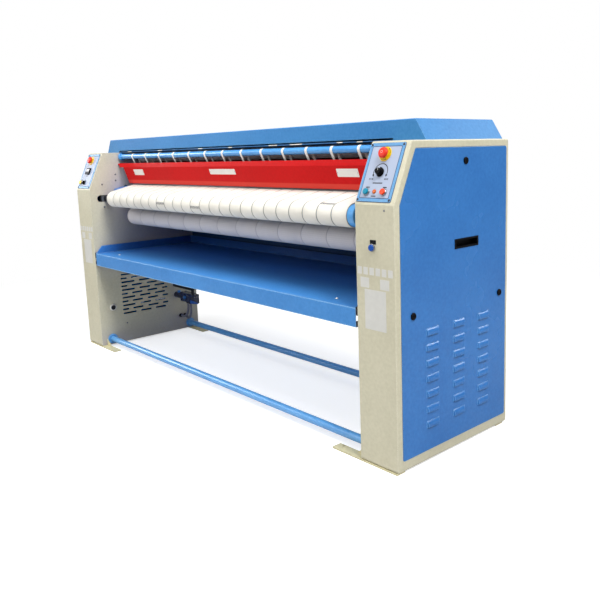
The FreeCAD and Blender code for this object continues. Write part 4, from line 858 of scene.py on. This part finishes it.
signal_red = gloss_plastic("signal-red ABS", "#E23016", "#D22610", 0.34, 0.05)
signal_yellow = gloss_plastic("signal-yellow ABS", "#EECB1A", "#DCB80F", 0.3, 0.05)
teal_abs = gloss_plastic("teal ABS", "#0A8CAA", "#067892", 0.25, 0.05)
orange_abs = gloss_plastic("red-orange ABS", "#F4502A", "#E2401C", 0.2, 0.05)
blue_abs = gloss_plastic("blue ABS", "#1B56B4", "#14499E", 0.2, 0.05)
amber_lens = gloss_plastic("amber acrylic lens", "#CE6420", "#B65014", 0.12, 0.3)
dress(signal_red, "left_estop_cap", "right_estop_cap")
dress(orange_abs, "stop_button")
dress(signal_yellow, "estop_collars", "alarm_button")
dress(teal_abs, "start_button")
dress(blue_abs, "reset_button")
dress(amber_lens, "pilot_lamp")
dress(black_nylon, "speed_knob", "selector_knob", "temperature_controller")

# the black bezel is the one within 20 mm of X -1.402, the selector's
bezel_finish, tree, shader = new_finish("satin chrome and black bezels")
where = add(tree, "TexCoord")
place = add(tree, "SeparateXYZ", {0: where.outputs["Object"]})
selector = add(tree, "Math", {0: place.outputs["X"], 1: -1.402, 2: 0.02}, operation="COMPARE")
handled = noise(tree, where, 0.01, 3.0)
chrome = tint(tree, handled.outputs["Fac"], "#7E8188", "#A6A9B0")
tone = add(tree, "Mix", {0: selector.outputs[0], 6: chrome.outputs[2], 7: colour("#101116")},
           data_type="RGBA")
feed(tree, tone.outputs[2], shader, "Base Color")
metal = add(tree, "Math", {0: 1.0, 1: selector.outputs[0]}, operation="SUBTRACT")
feed(tree, metal.outputs[0], shader, "Metallic")
gloss = add(tree, "MapRange", {"Value": handled.outputs["Fac"], "To Min": 0.2, "To Max": 0.38})
feed(tree, gloss.outputs[0], shader, "Roughness")
dress(bezel_finish, "button_bezels")

# a pale ring is printed on each mushroom head
pale_print = lacquered("pale pink print", "#F6C9BE", "#EDB6A9", 0.5)
CAP_TOP = 28.32
for side, x in ESTOPS.items():
    mesh = bmesh.new()
    head = on_slope(x, ESTOP_UP, CAP_TOP)
    ring = [Vector((5 * MM * math.cos(a), 5 * MM * math.sin(a)))
            for a in (math.tau * k / 20 for k in range(21))]
    for start, end in zip(ring, ring[1:]):
        add_stroke(mesh, head, start, end, 1.4 * MM)
    new_piece(side + "_estop_ring", mesh, pale_print, side + "_estop_cap")

# a white line shows where the dial and the selector point
KNOB_TOP, SELECTOR_X, SELECTOR_UP, SELECTOR_TOP = 23.02, -1402, 51, 20.02
knob_line = lacquered("white line paint", "#E8E8E4", "#D5D5D0", 0.5)
mesh = bmesh.new()
add_stroke(mesh, on_slope(DIAL_X, DIAL_UP, KNOB_TOP), Vector((0, 0.002)), Vector((0, 0.0115)), 1.4 * MM)
new_piece("speed_knob_line", mesh, knob_line, "speed_knob")
mesh = bmesh.new()
add_stroke(mesh, on_slope(SELECTOR_X, SELECTOR_UP, SELECTOR_TOP), Vector((0, -0.001)),
           Vector((0, 0.0105)), 1.8 * MM)
new_piece("selector_line", mesh, knob_line, "selector_knob")


# ---- Face of the temperature controller: a smoked window with four keys under it, in a black
# housing. Acrylic over a dark display, and silicone keys.
CONTROLLER_X, CONTROLLER_FACE, KEY_PITCH = -1396, 12.0, 12
smoked_acrylic = gloss_plastic("smoked acrylic window", "#1A2440", "#121A30", 0.08)
silicone_key = moulded_nylon("grey silicone key", "#5A5D6A", "#6B6E7C", 0.6, 1 * MM)
mesh = bmesh.new()
add_plate(mesh, on_slope(CONTROLLER_X, 140, CONTROLLER_FACE), 46 * MM, 20 * MM, 0.6 * MM, 2 * MM)
new_piece("controller_window", mesh, smoked_acrylic)
mesh = bmesh.new()
for k in range(4):
    key = on_slope(CONTROLLER_X + (k - 1.5) * KEY_PITCH, 120, CONTROLLER_FACE)
    add_plate(mesh, key, 8 * MM, 6 * MM, 1.0 * MM, 1.5 * MM)
new_piece("controller_keys", mesh, silicone_key)


# ---- Legend plate over the blue button on the right front, and blank plates below it and at the
# same place on the left housing. Engraving stock and clear-anodised aluminium, held by adhesive.
def on_front(x, z):
    """A frame on the flat front of a housing, 0.05 mm proud of it; x and height in mm."""
    return face_at((x, -388.05, z), (1, 0, 0), (0, -1, 0))


black_laminate = moulded_nylon("black engraving laminate", "#14151A", "#202128", 0.5, 1 * MM)
mesh = bmesh.new()
add_plate(mesh, on_front(1384.5, 953.5), 33 * MM, 17 * MM, 1.2 * MM, 1.5 * MM)
new_piece("reset_legend_plate", mesh, black_laminate)

blank_aluminium = lacquered("clear-anodised aluminium plate", "#D9D8D2", "#C9C8C2", 0.4)
mesh = bmesh.new()
PLATE_THICKNESS, ROW_COUNT, ROW_PITCH = 0.6 * MM, 6, 34
for middle_x in (1391, -1391):
    for k in range(ROW_COUNT):
        place = on_front(middle_x + (k - (ROW_COUNT - 1) / 2) * ROW_PITCH, 834)
        add_plate(mesh, place, 25 * MM, 31 * MM, PLATE_THICKNESS, 2 * MM)
    for offset in (-57, 53):
        add_plate(mesh, on_front(middle_x + offset, 786), 49 * MM, 42 * MM, PLATE_THICKNESS, 2 * MM)
    add_plate(mesh, on_front(middle_x, 676), 118 * MM, 166 * MM, PLATE_THICKNESS, 3 * MM)
new_piece("blank_front_plates", mesh, blank_aluminium)


# ---- Studio: a pale matt floor that keeps the machine's soft shadow and fades into the white
# surroundings. Soft lamps stand high on the right, in front, overhead and weakly behind; two more,
# behind and on the left, show only in shiny surfaces.
WHITE = (1.0, 1.0, 1.0, 1.0)
FADE_START, FADE_END = 2.2, 4.5
GLOSSY_LEVEL, FILL_LEVEL = 0.3, 0.26
LAMP_AIM = Vector((0.0, 0.0, 0.8))
studio_paint, tree, shader = new_finish("studio floor paint", Base_Color=colour("#D6D6D6"), Roughness=0.9)
seen = add(tree, "LightPath")
lift = add(tree, "Emission", {"Color": WHITE, "Strength": 0.6})
lit_floor = add(tree, "AddShader", {0: shader.outputs[0], 1: lift.outputs[0]})
where = add(tree, "TexCoord")
away = add(tree, "VectorMath", {0: where.outputs["Object"]}, operation="LENGTH")
fade = add(tree, "MapRange", {"Value": away.outputs["Value"], "From Min": FADE_START, "From Max": FADE_END},
           interpolation_type="SMOOTHSTEP")
white = add(tree, "Emission", {"Color": WHITE, "Strength": 1.0})
seen_floor = add(tree, "MixShader", {0: fade.outputs[0], 1: lit_floor.outputs[0], 2: white.outputs[0]})
choice = add(tree, "MixShader", {0: seen.outputs["Is Camera Ray"], 1: shader.outputs[0],
                                 2: seen_floor.outputs[0]})
tree.links.new(choice.outputs[0], tree.nodes["Material Output"].inputs["Surface"])
mesh = bmesh.new()
bmesh.ops.create_grid(mesh, x_segments=1, y_segments=1, size=40.0)
data = bpy.data.meshes.new("studio_floor")
mesh.to_mesh(data)
mesh.free()
data.materials.append(studio_paint)
studio_floor = bpy.data.objects.new("studio_floor", data)
studio_floor.location = (0.0, 0.0, -0.0005)
scene.collection.objects.link(studio_floor)

world = bpy.data.worlds.new("studio")
scene.world = world
world.use_nodes = True
tree = world.node_tree
surround = tree.nodes["Background"]
surround.inputs["Color"].default_value = WHITE
seen = add(tree, "LightPath")
glossy = add(tree, "Math", {0: seen.outputs["Is Glossy Ray"], 1: GLOSSY_LEVEL}, operation="MULTIPLY")
clear = add(tree, "Math", {0: seen.outputs["Is Camera Ray"], 1: seen.outputs["Is Transmission Ray"]},
            operation="MAXIMUM")
direct = add(tree, "Math", {0: clear.outputs[0], 1: glossy.outputs[0]}, operation="MAXIMUM")
level = add(tree, "Math", {0: direct.outputs[0], 1: FILL_LEVEL}, operation="MAXIMUM")
tree.links.new(level.outputs[0], surround.inputs["Strength"])

LAMPS = {
    "lamp_right": ((5.7, -1.0, 6.7), 2.5, 510.0, True),
    "lamp_front": ((-1.4, -4.6, 3.4), 2.6, 106.0, True),
    "lamp_overhead": ((0.2, -1.4, 5.2), 2.6, 135.0, True),
    "lamp_rear": ((-1.0, 5.2, 3.4), 3.0, 55.0, True),
    # these two draw the edges and the tubes, and light no paint
    "lamp_behind": ((2.9, 3.9, 3.6), 1.4, 150.0, False),
    "lamp_left": ((-5.2, -2.2, 2.4), 2.0, 110.0, False),
}
for lamp_name, (spot, size, watts, lights_paint) in LAMPS.items():
    light = bpy.data.lights.new(lamp_name, "AREA")
    light.shape = "SQUARE"
    light.size = size
    light.energy = watts
    light.specular_factor = 0.7
    lamp = bpy.data.objects.new(lamp_name, light)
    lamp.location = spot
    lamp.visible_diffuse = lights_paint
    lamp.rotation_euler = (LAMP_AIM - Vector(spot)).to_track_quat("-Z", "Y").to_euler()
    scene.collection.objects.link(lamp)

scene.view_settings.view_transform = "Standard"
